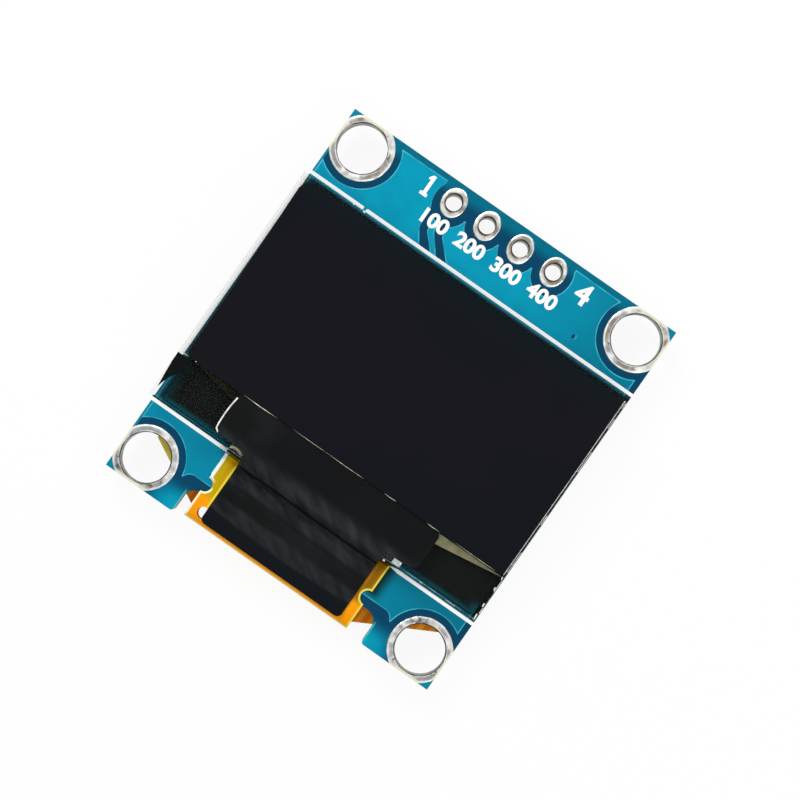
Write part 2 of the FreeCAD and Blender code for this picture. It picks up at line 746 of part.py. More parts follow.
# A chip capacitor or resistor, long in y: a ceramic block with a wrapped terminal at each end.
def chipPart(label, high, x, y):
    body = newBody(label)
    core = newSketch(body, label + "_core", "-dim.terminal_step")
    halfWidth = "(dim.chip_part_width / 2)"
    halfLength = "(dim.chip_part_length / 2)"
    rectangle(core, "dim.terminal_step - " + halfWidth, halfWidth + " - dim.terminal_step",
              "dim.terminal_length / 2 - " + halfLength, halfLength + " - dim.terminal_length / 2")
    pad(body, core, high + " - 2 * dim.terminal_step", down=True)
    for name, side in (("_near", -1), ("_far", 1)):
        terminal = newSketch(body, label + name)
        inner = "%d * (%s - dim.terminal_length)" % (side, halfLength)
        outer = "%d * %s" % (side, halfLength)
        foot, top = (outer, inner) if side < 0 else (inner, outer)
        rectangle(terminal, "-" + halfWidth, halfWidth, foot, top)
        pad(body, terminal, high, down=True)
    doc.recompute()
    low = -amount(body, high)
    reach = amount(body, halfLength)
    names = []
    for number, edge in enumerate(body.Shape.Edges, 1):
        box = edge.BoundBox
        atEnd = box.YLength < 1e-4 and abs(abs(box.YMin) - reach) < 1e-4
        if atEnd and (box.ZMin < low + 1e-4):
            names.append("Edge%d" % number)
    dress(body, "Fillet", "Radius", "dim.terminal_round", names)
    body.setExpression(".Placement.Base.x", x)
    body.setExpression(".Placement.Base.y", y)
    return body


# A moulded package: two halves that taper away from the parting line where its leads come out.
def mouldedBody(label, length, width, low, high, x):
    body = newBody(label)
    parting = "-(%s + dim.%s) / 2" % (low, high)
    for name, down in (("_upper", False), ("_lower", True)):
        half = newSketch(body, label + name, parting)
        rectangle(half, "-%s / 2" % length, "%s / 2" % length, "-%s / 2" % width, "%s / 2" % width)
        pad(body, half, "(dim.%s - %s) / 2" % (high, low), down=down, draft="dim.mould_draft")
    body.setExpression(".Placement.Base.x", x)
    body.setExpression(".Placement.Base.y", supplyRow)
    return body


def regulatorBody():
    return mouldedBody("regulator_body", "dim.regulator_length", "dim.regulator_width",
                       "dim.regulator_standoff", "regulator_high", "dim.regulator_shift")


# Gull-wing leads: out of the package's side, down to the board and along it.
def regulatorLeads():
    body = newBody("regulator_leads", group=True)
    side = "(dim.regulator_width / 2)"
    thick = "dim.lead_thick"
    for number, place, way in ((1, "-dim.lead_pitch", 1), (2, "dim.lead_pitch", 1), (3, "0", -1)):
        lead = newSketch(body, "gull_wing_%d" % number, place + " - dim.lead_width / 2", role="YZ_Plane")
        turn = side + " + dim.lead_reach - dim.lead_foot"
        outline = [
            (side, "-dim.lead_exit"), (turn, "-dim.lead_exit"), (turn + " + %s / 2" % thick, "-" + thick),
            (side + " + dim.lead_reach", "-" + thick), (side + " + dim.lead_reach", "0"),
            (turn + " - %s / 2" % thick, "0"), (turn + " - " + thick, "%s - dim.lead_exit" % thick),
            (side, "%s - dim.lead_exit" % thick),
        ]
        points = [("%d * (%s)" % (way, y), z) for y, z in outline]
        polygon(lead, points if way < 0 else points[::-1])
        pad(body, lead, "dim.lead_width")
    body.setExpression(".Placement.Base.x", "dim.regulator_shift")
    body.setExpression(".Placement.Base.y", supplyRow)
    return body


def diodeBody():
    return mouldedBody("diode_body", "dim.diode_length", "dim.diode_width",
                       "dim.diode_lead_thick", "diode_high", diodePlace)


def diodeLeads():
    body = newBody("diode_leads", group=True)
    for name, side in (("left", -1), ("right", 1)):
        lead = newSketch(body, "diode_lead_" + name)
        inner = "%d * dim.diode_length / 4" % side
        outer = "%d * (dim.diode_length / 2 + dim.diode_lead_reach)" % side
        left, right = (outer, inner) if side < 0 else (inner, outer)
        rectangle(lead, left, right, "-dim.diode_lead_width / 2", "dim.diode_lead_width / 2")
        pad(body, lead, "dim.diode_lead_thick", down=True)
    body.setExpression(".Placement.Base.x", diodePlace)
    body.setExpression(".Placement.Base.y", supplyRow)
    return body


# One solder wedge: tall against the metal that it wets, thin at its toe.
def solderWedge(name, x, y, width, turn):
    wedge = doc.addObject("Part::Wedge", name)
    wedge.Ymin = 0
    wedge.Zmax = 0
    wedge.Z2max = 0
    for low, high in (("Xmin", "Xmax"), ("X2min", "X2max")):
        wedge.setExpression(low, "-%s / 2" % width)
        wedge.setExpression(high, "%s / 2" % width)
    wedge.setExpression("Ymax", "dim.solder_reach")
    wedge.setExpression("Zmin", "-dim.solder_high")
    wedge.setExpression("Z2min", "-dim.solder_edge")
    wedge.Placement.Rotation = FreeCAD.Rotation(FreeCAD.Vector(0, 0, 1), turn)
    wedge.setExpression(".Placement.Base.x", x)
    wedge.setExpression(".Placement.Base.y", y)
    return wedge


def componentSolder(places):
    wedges = []
    for x, y in places:
        for side, turn in ((1, 0), (-1, 180)):
            end = "%s + %d * dim.chip_part_length / 2" % (y, side)
            wedges.append(solderWedge("chip_wedge_%d" % len(wedges), x, end, "dim.chip_part_width", turn))
    for number, (place, way) in enumerate((("-dim.lead_pitch", 1), ("dim.lead_pitch", 1), ("0", -1))):
        end = "%s + %d * (dim.regulator_width / 2 + dim.lead_reach)" % (supplyRow, way)
        wedges.append(solderWedge("lead_wedge_%d" % number, "dim.regulator_shift + " + place, end,
                                  "dim.lead_width", 0 if way > 0 else 180))
    for side, turn in ((1, -90), (-1, 90)):
        end = "%s + %d * (dim.diode_length / 2 + dim.diode_lead_reach)" % (diodePlace, side)
        wedges.append(solderWedge("diode_wedge_%d" % (side + 1), end, supplyRow,
                                  "dim.diode_lead_width", turn))
    group = doc.addObject("Part::Compound", "component_solder")
    group.Label = "component_solder"
    group.Links = wedges
    return group


# Places of a row of parts, evenly spaced from one x to another.
def rowPlaces(total, first, last, line):
    step = "((%s) - (%s)) / %d" % (last, first, total - 1)
    return [("(%s + %d * %s)" % (first, i, step), line) for i in range(total)]


pieces = [circuitBoard()]
for number, (side, end) in enumerate(corners, 1):
    pieces.append(mountingPad(number, side, end))
for number in range(boardSizes["pin_count"]):
    pieces.append(headerPad(number))
pieces += [foamTape(), backGlass(), desiccantSheet(), perimeterSeal(), emitterLayers(), frontGlass(),
           polarizer(), ledgePad(), driverChip(), chipBondFilm(), flexBondFilm(), flexCable(),
           flexSolderJoints(), frontTape(), jointSealant()]

pumpEnd = "(%s - dim.pump_cap_margin)" % boardSide
supplyEnd = "(%s - dim.supply_cap_margin)" % boardSide
supplyStart = "(%s - dim.supply_cap_pitch * (dim.supply_cap_count - 1))" % supplyEnd
resistorEnd = "(%s - dim.resistor_margin)" % boardSide
capacitorPlaces = rowPlaces(partSizes["pump_cap_count"], "-" + pumpEnd, pumpEnd, pumpRow)
capacitorPlaces += rowPlaces(partSizes["supply_cap_count"], supplyStart, supplyEnd, supplyRow)
resistorPlaces = rowPlaces(partSizes["resistor_count"], "-" + resistorEnd, resistorEnd, resistorRow)
for number, (x, y) in enumerate(capacitorPlaces, 1):
    pieces.append(chipPart("capacitor_%d" % number, "dim.capacitor_high", x, y))
for number, (x, y) in enumerate(resistorPlaces, 1):
    pieces.append(chipPart("resistor_%d" % number, "dim.resistor_high", x, y))
pieces += [regulatorBody(), regulatorLeads(), diodeBody(), diodeLeads(),
           componentSolder(capacitorPlaces + resistorPlaces)]

doc.recompute()
for item in doc.Objects:
    if "Invalid" in item.State or "Error" in item.State:
        raise RuntimeError("%s failed: %s" % (item.Name, item.State))
for piece in pieces:
    if piece.Shape.isNull() or not piece.Shape.isValid():
        raise RuntimeError("%s has no valid shape" % piece.Label)

os.makedirs("parts", exist_ok=True)
for piece in pieces:
    piece.Shape.exportStep("parts/%s.step" % piece.Label)
    print(piece.Label, len(piece.Shape.Solids), round(piece.Shape.Volume, 4))
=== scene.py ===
import bmesh
import bpy
import math
from mathutils import Matrix, Vector


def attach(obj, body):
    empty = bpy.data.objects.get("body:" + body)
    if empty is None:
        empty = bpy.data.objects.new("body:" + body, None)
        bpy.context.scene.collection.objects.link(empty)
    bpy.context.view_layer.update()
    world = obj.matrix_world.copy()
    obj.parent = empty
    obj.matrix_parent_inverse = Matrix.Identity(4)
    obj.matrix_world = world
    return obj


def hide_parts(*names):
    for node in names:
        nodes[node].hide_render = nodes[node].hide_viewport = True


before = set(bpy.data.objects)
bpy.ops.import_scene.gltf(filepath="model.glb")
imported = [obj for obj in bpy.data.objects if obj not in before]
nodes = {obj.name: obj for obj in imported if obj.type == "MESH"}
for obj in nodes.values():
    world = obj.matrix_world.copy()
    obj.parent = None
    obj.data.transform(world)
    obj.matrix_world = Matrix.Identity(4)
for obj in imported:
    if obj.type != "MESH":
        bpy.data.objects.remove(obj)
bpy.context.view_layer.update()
mm = 0.001
# The board's upper face, half its width and half its length, and where its holes are
boardTop, boardSide, boardEnd = 1.2, 12.3, 13.65
holeX, holeY, pinY = 10.5, 11.85, 12.35
pitch = 2.54
holes = [(holeX * side, holeY * end) for side in (-1, 1) for end in (-1, 1)]
pins = [(k - 1.5) * pitch for k in range(4)]


# Colours are written as they look on a screen, from 0 to 1.
def paint(red, green, blue):
    return tuple(c / 12.92 if c < 0.04045 else ((c + 0.055) / 1.055) ** 2.4
                 for c in (red, green, blue)) + (1.0,)


# A shader socket that can stand in a sum.
class Wire:
    def __init__(self, look, socket):
        self.look, self.socket = look, socket

    def maths(self, operation, *values):
        return self.look.node("ShaderNodeMath", {"operation": operation}, list(values))

    def __add__(self, other): return self.maths("ADD", self, other)
    def __radd__(self, other): return self.maths("ADD", other, self)
    def __sub__(self, other): return self.maths("SUBTRACT", self, other)
    def __rsub__(self, other): return self.maths("SUBTRACT", other, self)
    def __mul__(self, other): return self.maths("MULTIPLY", self, other)
    def __rmul__(self, other): return self.maths("MULTIPLY", other, self)
    def __truediv__(self, other): return self.maths("DIVIDE", self, other)
    def __pow__(self, other): return self.maths("POWER", self, other)
    def __abs__(self): return self.maths("ABSOLUTE", self)
    def __and__(self, other): return self.maths("MINIMUM", self, other)
    def __or__(self, other): return self.maths("MAXIMUM", self, other)


class Look:
    def __init__(self, name, **fixed):
        self.material = bpy.data.materials.new(name)
        self.material.use_nodes = True
        self.nodes, self.links = self.material.node_tree.nodes, self.material.node_tree.links
        self.surface = self.nodes["Principled BSDF"]
        for socket, value in fixed.items():
            self.surface.inputs[socket.replace("_", " ")].default_value = value
        self.place = self.node("ShaderNodeTexCoord", out="Object")
        apart = self.node("ShaderNodeSeparateXYZ", inputs=[self.place])
        self.x, self.y, self.z = (Wire(self, s) / mm for s in apart.socket.node.outputs)
        facing = self.node("ShaderNodeSeparateXYZ", inputs=[self.node("ShaderNodeTexCoord", out="Normal")])
        self.upright = abs(Wire(self, facing.socket.node.outputs["Z"]))

    def node(self, kind, settings={}, inputs={}, out=0):
        made = self.nodes.new(kind)
        for name, value in settings.items():
            if name == "stops":
                while len(made.color_ramp.elements) < len(value):
                    made.color_ramp.elements.new(0.5)
                for element, (position, colour) in zip(made.color_ramp.elements, value):
                    element.position, element.color = position, colour
            else:
                setattr(made, name, value)
        for name, value in (inputs.items() if isinstance(inputs, dict) else enumerate(inputs)):
            if isinstance(value, Wire):
                self.links.new(value.socket, made.inputs[name])
            else:
                made.inputs[name].default_value = value
        return Wire(self, made.outputs[out])

    # 0 below the first value and 1 past the second, smoothly
    def step(self, value, low, high):
        return self.node("ShaderNodeMapRange", {"interpolation_type": "SMOOTHSTEP"},
                         {"Value": value, "From Min": low, "From Max": high})

    # 1 between the two values, fading over the soft width
    def band(self, value, low, high, soft):
        return self.step(value, low - soft, low) * self.step(value, high + soft, high)

    # a colour is a socket, or red, green and blue for paint
    def mix(self, factor, first, second):
        first, second = (c if isinstance(c, Wire) else paint(*c) for c in (first, second))
        return self.node("ShaderNodeMix", {"data_type": "RGBA"}, {0: factor, 6: first, 7: second}, 2)

    # cloudy noise in long streaks that run at an angle to x
    def streaks(self, scale, degrees, thin=4.0):
        turn = math.radians(degrees)
        along = self.x * math.cos(turn) + self.y * math.sin(turn)
        across = self.y * math.cos(turn) - self.x * math.sin(turn)
        at = self.node("ShaderNodeCombineXYZ", {}, [along * (scale / thin), across * scale, self.z * scale])
        return self.node("ShaderNodeTexNoise", {}, {"Vector": at, "Scale": 1.0, "Detail": 4.0})

    # cloudy noise, with its scale in cells per millimetre
    def grain(self, scale, detail=3.0, stretch=(1, 1, 1), shift=(0, 0, 0)):
        at = self.node("ShaderNodeMapping", {}, {"Vector": self.place, "Location": shift,
                                                 "Scale": tuple(s * scale / mm for s in stretch)})
        return self.node("ShaderNodeTexNoise", {}, {"Vector": at, "Scale": 1.0, "Detail": detail})

    # straight waves across an axis, with their scale per metre
    def waves(self, axis, scale, **more):
        return self.node("ShaderNodeTexWave", {"bands_direction": axis},
                         {"Vector": self.place, "Scale": scale, **more})

    # the distance from a point, in millimetres
    def near(self, x, y):
        across, along = self.x - x, self.y - y
        return (across * across + along * along) ** 0.5

    def give(self, **links):
        for name, value in links.items():
            self.links.new(value.socket, self.surface.inputs[name.replace("_", " ")])
        return self

    def bump(self, height, depth, strength=1.0):
        raised = self.node("ShaderNodeBump", {}, {"Strength": strength, "Distance": depth * mm,
                                                  "Height": height})
        return self.give(Normal=raised)


def pickNone():
    if bpy.context.object and bpy.context.object.mode != "OBJECT":
        bpy.ops.object.mode_set(mode="OBJECT")
    bpy.ops.object.select_all(action="DESELECT")


def only(piece):
    pickNone()
    piece.select_set(True)
    bpy.context.view_layer.objects.active = piece


def settle(piece):
    only(piece)
    bpy.ops.object.transform_apply(location=True, rotation=True, scale=True)
    return piece


def finishWith(piece, kind, **settings):
    only(piece)
    modifier = piece.modifiers.new(kind.title(), kind)
    for name, value in settings.items():
        setattr(modifier, name, value)
    bpy.ops.object.modifier_apply(modifier=modifier.name)
    return piece


def carve(piece, cutter):
    finishWith(piece, "BOOLEAN", object=cutter, operation="DIFFERENCE", solver="EXACT")
    bpy.data.objects.remove(cutter)


# Rounds the edges that turn by more than an angle.
def bevelled(piece, width, segments=1, degrees=30):
    return finishWith(piece, "BEVEL", width=width * mm, segments=segments, limit_method="ANGLE",
                      angle_limit=math.radians(degrees))


# Pushes a surface in and out by a cloudy noise.
def uneven(piece, size, strength, middle, **settings):
    clouds = bpy.data.textures.new("clouds", "CLOUDS")
    clouds.noise_scale, clouds.noise_depth = size * mm, 2
    finishWith(piece, "DISPLACE", texture=clouds, texture_coords="GLOBAL", strength=strength * mm,
               mid_level=middle, **settings)


# Opens a piece in edit mode, with all of its mesh picked.
def openMesh(piece):
    only(piece)
    bpy.ops.object.mode_set(mode="EDIT")
    bpy.ops.mesh.select_all(action="SELECT")


def closeMesh():
    bpy.ops.object.mode_set(mode="OBJECT")


# Cuts across the open mesh at places along an axis.
def slices(axis, places):
    for place in places:
        bpy.ops.mesh.select_all(action="SELECT")
        bpy.ops.mesh.bisect(plane_co=[a * place * mm for a in axis], plane_no=axis, threshold=0.001 * mm)


# A block between two corners in millimetres.
def block(name, low, high):
    pickNone()
    middle = [(a + b) / 2 * mm for a, b in zip(low, high)]
    bpy.ops.mesh.primitive_cube_add(size=1, location=middle,
                                    scale=[(b - a) * mm for a, b in zip(low, high)])
    piece = bpy.context.object
    piece.name = name
    return settle(piece)


def rod(name, x, y, radius, low, high, stretch=1.0, steps=64):
    pickNone()
    bpy.ops.mesh.primitive_cylinder_add(vertices=steps, radius=radius * mm, depth=(high - low) * mm,
                                        location=(x * mm, y * mm, (low + high) / 2 * mm))
    piece = bpy.context.object
    piece.name, piece.scale.y = name, stretch
    return settle(piece)


# A flat shape between two heights: its outline, and any holes after it, as lists of points.
def sheet(name, loops, low, high, edge=0.0):
    pickNone()
    drawn = bpy.data.curves.new(name, "CURVE")
    drawn.dimensions, drawn.fill_mode = "2D", "BOTH"
    drawn.extrude = ((high - low) / 2 - edge) * mm
    drawn.bevel_depth, drawn.bevel_resolution, drawn.offset = edge * mm, 1, -edge * mm
    for loop in loops:
        line = drawn.splines.new("POLY")
        line.points.add(len(loop) - 1)
        for point, (x, y) in zip(line.points, loop):
            point.co = (x * mm, y * mm, 0, 1)
        line.use_cyclic_u = True
    piece = bpy.data.objects.new(name, drawn)
    bpy.context.collection.objects.link(piece)
    piece.location.z = (low + high) / 2 * mm
    return madeMesh(piece)


def madeMesh(piece):
    only(piece)
    bpy.ops.object.convert(target="MESH")
    piece = settle(bpy.context.object)
    openMesh(piece)
    bpy.ops.mesh.remove_doubles(threshold=0.0005 * mm)
    bpy.ops.mesh.normals_make_consistent(inside=False)
    closeMesh()
    return piece


def corners(x0, y0, x1, y1):
    return [(x0, y0), (x1, y0), (x1, y1), (x0, y1)]


# Picks the points or faces that pass a test.
def pick(piece, kind, test):
    bpy.ops.mesh.select_mode(type=kind)
    bpy.ops.mesh.select_all(action="DESELECT")
    form = bmesh.from_edit_mesh(piece.data)
    for part in {"VERT": form.verts, "FACE": form.faces}[kind]:
        if test(part):
            part.select_set(True)
    bmesh.update_edit_mesh(piece.data)


# A ring drawn out of one circle, loop by loop. Each loop is (half width, half length, height).
def ring(name, x, y, loops, steps):
    pickNone()
    width, length, height = loops[0]
    bpy.ops.mesh.primitive_circle_add(vertices=steps, radius=mm, location=(x * mm, y * mm, height * mm))
    piece = bpy.context.object
    piece.name, piece.scale = name, (width, length, 1)
    openMesh(settle(piece))
    for (w0, l0, z0), (w1, l1, z1) in zip(loops, loops[1:]):
        bpy.ops.mesh.extrude_edges_move(TRANSFORM_OT_translate={"value": (0, 0, (z1 - z0) * mm)})
        bpy.ops.transform.resize(value=(w1 / w0, l1 / l0, 1), center_override=(x * mm, y * mm, z1 * mm))
    bpy.ops.mesh.select_all(action="DESELECT")
    bpy.ops.mesh.select_mode(type="EDGE")
    bpy.ops.mesh.select_non_manifold()
    bpy.ops.mesh.bridge_edge_loops()
    bpy.ops.mesh.select_all(action="SELECT")
    bpy.ops.mesh.normals_make_consistent(inside=False)
    closeMesh()
    return piece


# Cuts away what lies past a flat plane, and closes the cut.
def trim(piece, at, facing):
    openMesh(piece)
    bpy.ops.mesh.bisect(plane_co=[c * mm for c in at], plane_no=facing, use_fill=True, clear_outer=True,
                        threshold=0.0001 * mm)
    closeMesh()


def soften(piece, degrees=35):
    only(piece)
    bpy.ops.object.shade_smooth_by_angle(angle=math.radians(degrees))
    return piece


def dress(piece, *looks):
    piece.data.materials.clear()
    for look in looks:
        piece.data.materials.append(look.material)
    return piece


def show(piece, slot, *looks, instead=()):
    if looks:
        dress(piece, *looks)
    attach(piece, "root")
    if instead:
        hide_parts(*instead)


# Adds an arc to a list of points.
def rolled(points, x, y, radius, start, end, steps):
    turn = math.radians(end - start) / steps
    return points + [(x + radius * math.cos(math.radians(start) + turn * k),
                      y + radius * math.sin(math.radians(start) + turn * k)) for k in range(steps + 1)]


print("tools ready")

teal = {"top": (0.0, 0.60, 0.72), "foot": (0.005, 0.53, 0.65), "rim": (0.22, 0.72, 0.80),
        "gap": (0.02, 0.27, 0.39), "gapPale": (0.0, 0.56, 0.70), "gapTop": (0.0, 0.44, 0.54),
        "core": (0.80, 0.77, 0.60), "fibre": (0.66, 0.62, 0.44)}


# Painted shade: the board is painted black where the panel lies over it, and deep green as the painted
# shadow of the flex cable.
def shaded(look, base):
    front = look.step(look.z, 0.3, 0.9)
    below = look.step(look.y, 8.73, 8.4) * look.step(look.y, -8.42, -8.12)
    below = below * look.step(look.x, -12.65, -11.7)
    beside = look.step(look.x, 6.85, 6.05) * look.step(look.x, 5.6, 5.8)
    beside = beside * look.band(look.y, -10.5, -8.6, 0.7)
    base = look.mix(beside * front * 0.92, base, (0.03, 0.13, 0.05))
    return look.mix(below * front, base, (0.03, 0.06, 0.07))


def pourLook():
    look = Look("mask_over_copper", Specular_IOR_Level=0.06)
    base = look.mix(look.step(look.y, 9.0, -12.0), teal["top"], teal["foot"])
    base = look.mix(look.step(look.grain(0.45, 4), 0.35, 0.75) * 0.35, base, (0.0, 0.47, 0.60))
    base = look.mix(look.step(look.x, 2.0, 10.5) * 0.85, base, (0.0, 0.455, 0.555))
    look.give(Base_Color=shaded(look, base), Roughness=0.24 + look.grain(2.2, 4) * 0.16)
    return look.bump(look.grain(7.0, 2), 0.004, 0.35)


# Painted highlight: the copper's edge rims are painted pale teal where they catch the light, broken in
# patches and fainter along the board's left and right edges.
def rimLook():
    look = Look("mask_over_copper_edge", Specular_IOR_Level=0.3)
    patchy = look.step(look.grain(0.9, 3), 0.35, 0.65) | (look.step(abs(look.x), 11.75, 11.85) * 0.9)
    base = look.mix(patchy, (0.03, 0.55, 0.67), teal["rim"])
    return look.give(Base_Color=shaded(look, base), Roughness=0.22 + patchy * 0.15)


def boardLook():
    look = Look("mask_over_laminate", Specular_IOR_Level=0.05)
    weave = look.waves("X", 420.0) + look.waves("Y", 420.0)
    # Painted light: the bare laminate is painted paler towards the board's foot, where light comes through
    # it, with a painted glow beside the notch.
    pale = look.step(look.y, -11.6, -13.4) * look.step(abs(look.x), 9.6, 8.2)
    face = look.mix(pale, teal["gap"], teal["gapPale"])
    face = look.mix(look.step(look.y, 12.4, 13.3), face, teal["gapTop"])
    glow = look.step(abs(look.x), 8.7, 7.4) * look.step(look.y, -12.0, -13.2)
    face = look.mix(glow * 0.8, face, (0.0, 0.66, 0.76))
    corner = look.step(abs(look.x), 11.2, 11.6) * look.step(abs(look.y), 12.7, 12.95)
    face = look.mix(corner | look.step(look.x, -12.1, -12.2), face, (0.03, 0.54, 0.64))
    face = look.mix(look.grain(1.5, 4) * 0.3, face, (0.0, 0.20, 0.32))
    # Painted sheen: a pale line along each edge of the notch.
    lipSheen = look.band(abs(look.x), 7.2, 7.27, 0.05) * look.step(look.y, -11.9, -12.3)
    face = shaded(look, look.mix(lipSheen * 0.7, face, (0.30, 0.74, 0.78)))
    core = look.mix(look.waves("Z", 1900.0, Distortion=1.5) * 0.7, teal["core"], teal["fibre"])
    cut = look.step(look.upright, 0.7, 0.3)
    look.give(Base_Color=look.mix(cut, face, core), Roughness=0.26 + cut * 0.45 + look.grain(3, 3) * 0.1)
    return look.bump(weave * 0.5 + look.grain(9, 2), 0.003, 0.3)


def tinLook():
    look = Look("uneven_tin")
    tone = look.mix(look.step(look.grain(1.6, 5), 0.3, 0.65), (0.80, 0.79, 0.77), (1.0, 1.0, 0.99))
    dross = look.step(look.grain(2.7, 3), 0.66, 0.8)
    tone = look.mix(dross, tone, (0.60, 0.52, 0.40))
    across, along = abs(look.x) - holeX, abs(look.y) - holeY
    wide = (across * across + along * along) ** 0.5
    across, along = abs(abs(look.x) - pitch) - pitch / 2, look.y - pinY
    small = (across * across + along * along * 0.8) ** 0.5
    narrow = look.step(abs(look.x), 6.5, 6.0)
    rough = look.grain(1.2, 3) * 0.22
    # Painted shade: the crown's slope, a band inside it and a thin broken line at the bore are painted
    # darker, where the hole falls into shade.
    inner = look.mix(narrow, look.step(wide + rough, 1.84, 1.74), look.step(small + rough, 0.80, 0.66))
    boreShade = look.mix(narrow, look.step(wide, 1.70, 1.64), look.step(small, 0.60, 0.55))
    boreShade = boreShade * look.step(look.grain(0.55, 3), 0.36, 0.5)
    pits = look.step(look.grain(2.1, 3, shift=(7, 3, 0)), 0.60, 0.68) * look.step(wide, 1.90, 1.80)
    slope = look.mix(narrow, look.band(wide, 1.76, 1.93, 0.08), look.band(small, 0.62, 0.72, 0.08))
    header = look.step(look.y, 0, 1)
    shadeOf = look.mix(narrow, look.mix(header, (0.36, 0.38, 0.38), (0.30, 0.26, 0.22)),
                       (0.50, 0.44, 0.34))
    slopeShade = look.mix(header * look.step(look.grain(0.5, 3), 0.35, 0.55), (0.52, 0.55, 0.55),
                    (0.50, 0.45, 0.38))
    tone = look.mix(slope * look.step(look.grain(1.0, 4), 0.36, 0.6) * 0.85, tone, slopeShade)
    tone = look.mix(inner * 0.8, tone, shadeOf)
    tone = look.mix(boreShade * 0.9 | (pits * 0.7), tone, (0.10, 0.09, 0.08))
    burnt = 0
    for x, y, reach in ((9.5, -10.5, 0.85), (-11.6, -12.95, 0.65), (-9.3, -12.75, 0.75)):
        burnt = look.step(look.near(x, y), reach, reach * 0.4) | burnt
    tone = look.mix(burnt * look.step(look.grain(2.6, 3), 0.42, 0.54) * 0.8, tone, (0.24, 0.20, 0.16))
    cut = look.step(abs(look.x), 12.12, 12.24) | look.step(abs(look.y), 13.42, 13.56)
    tone = look.mix(cut * 0.85, tone, (0.90, 0.89, 0.79))
    look.give(Base_Color=tone, Roughness=0.2 + look.grain(3.2, 4) * 0.25 + cut * 0.3,
              Metallic=1.0 - cut * 0.75)
    return look.bump(look.grain(2.4, 4) * 0.7 + look.grain(9, 2) * 0.3, 0.05, 0.55)


def silkLook():
    look = Look("legend_ink", Roughness=0.5)
    thin = look.step(look.grain(3.5, 4), 0.6, 0.8)
    look.give(Base_Color=look.mix(thin * 0.25, (1.0, 1.0, 1.0), (0.82, 0.97, 0.98)),
              Roughness=0.45 + thin * 0.2)
    return look.bump(look.grain(12, 3), 0.006, 0.4)


mask, maskRim, laminate, tin, ink = pourLook(), rimLook(), boardLook(), tinLook(), silkLook()
dress(nodes["circuit_board"], laminate)


# The copper under the mask stands a little proud of the board.
def frontCopper():
    copper = {"left": 0.12, "right": 0.4, "top": 0.36, "foot": -11.3, "sunk": 0.04, "thick": 0.03,
              "rim": 0.07, "ring": 2.53, "pad": 1.28, "padStretch": 1.2}
    left, right, top = copper["left"] - boardSide, boardSide - copper["right"], boardEnd - copper["top"]
    tip = [(8.1, -11.62), (7.9, -11.5), (7.83, -11.36), (7.7, -11.2), (7.52, -11.09), (7.35, -11.05)]
    outline = [(left, top), (right, top), (right, copper["foot"])] + tip
    outline += [(-x, y) for x, y in reversed(tip)] + [(left, copper["foot"])]
    piece = sheet("front_copper", [outline], boardTop - copper["sunk"], boardTop + copper["thick"])
    for x, y in holes:
        carve(piece, rod("clear", x, y, copper["ring"], 0, 3, steps=96))
    for x in pins:
        carve(piece, rod("clear", x, pinY - 0.1, copper["pad"], 0, 3, stretch=copper["padStretch"]))
    carve(piece, block("clear", (-4.9, 12.3, 0), (4.9, 14, 3)))
    for cusp in (-pitch, 0, pitch):  # blunts the points between two pads
        carve(piece, block("clear", (cusp - 0.3, 11.8, 0), (cusp + 0.3, 12.4, 3)))
    gaps = [[(-4.84, 11.5), (-4.82, 10.6), (-4.74, 10.16), (-4.7, 9.85), (-4.38, 9.37), (-3.95, 8.75),
             (-3.12, 8.75), (-3.7, 9.4), (-4.18, 9.91), (-4.25, 10.16), (-4.5, 11.1)],
            [(-3.95, 10.8), (-3.75, 10.11), (-3.23, 9.46), (-2.66, 8.75), (-1.88, 8.75), (-2.66, 9.58),
             (-3.17, 10.11), (-3.4, 10.8)]]
    for gap in gaps:
        carve(piece, sheet("gap", [gap], 0, 3))
    dress(piece, mask, maskRim)
    openMesh(piece)
    bpy.ops.mesh.remove_doubles(threshold=0.05 * mm)  # the inset crosses over at shorter edges
    bpy.ops.mesh.quads_convert_to_tris(ngon_method="BEAUTY")
    pick(piece, "FACE", lambda f: f.normal.z > 0.9)
    bpy.ops.mesh.inset(thickness=copper["rim"] * mm, depth=0, use_boundary=True, use_even_offset=True,
                       use_select_inset=True)
    # the inset rims take the painted highlight of the copper's edge
    piece.active_material_index = 1
    bpy.ops.object.material_slot_assign()
    closeMesh()
    show(soften(bevelled(piece, 0.015, degrees=60), 60), "board")


# A small plated hole that the mask covers: a shallow collar, its dimple, and a gleam on the right.
def coveredHole():
    hole = {"x": 7.15, "y": 9.75, "dimple": 0.115}
    x, y = hole["x"], hole["y"]
    collar = [(0.11, 0.13, boardTop + 0.025), (0.14, 0.16, boardTop + 0.045), (0.19, 0.21, boardTop + 0.04),
              (0.22, 0.24, boardTop + 0.025)]
    show(soften(ring("covered_hole", x, y, collar, 32)), "board", mask)
    low, high = boardTop + 0.02, boardTop + 0.04
    dimple = rod("covered_hole_dimple", x - 0.03, y, hole["dimple"], low, high, 1.3, 24)
    show(soften(bevelled(dimple, 0.006, 2, degrees=60)), "board", laminate)
    gleam = rolled([], x - 0.03, y, 0.23, -50, 50, 10)
    gleam += reversed(rolled([], x - 0.05, y, 0.17, -45, 45, 10))
    show(sheet("covered_hole_gleam", [gleam], boardTop + 0.03, boardTop + 0.05, 0.004), "board", maskRim)


frontCopper()
coveredHole()
print("front copper")


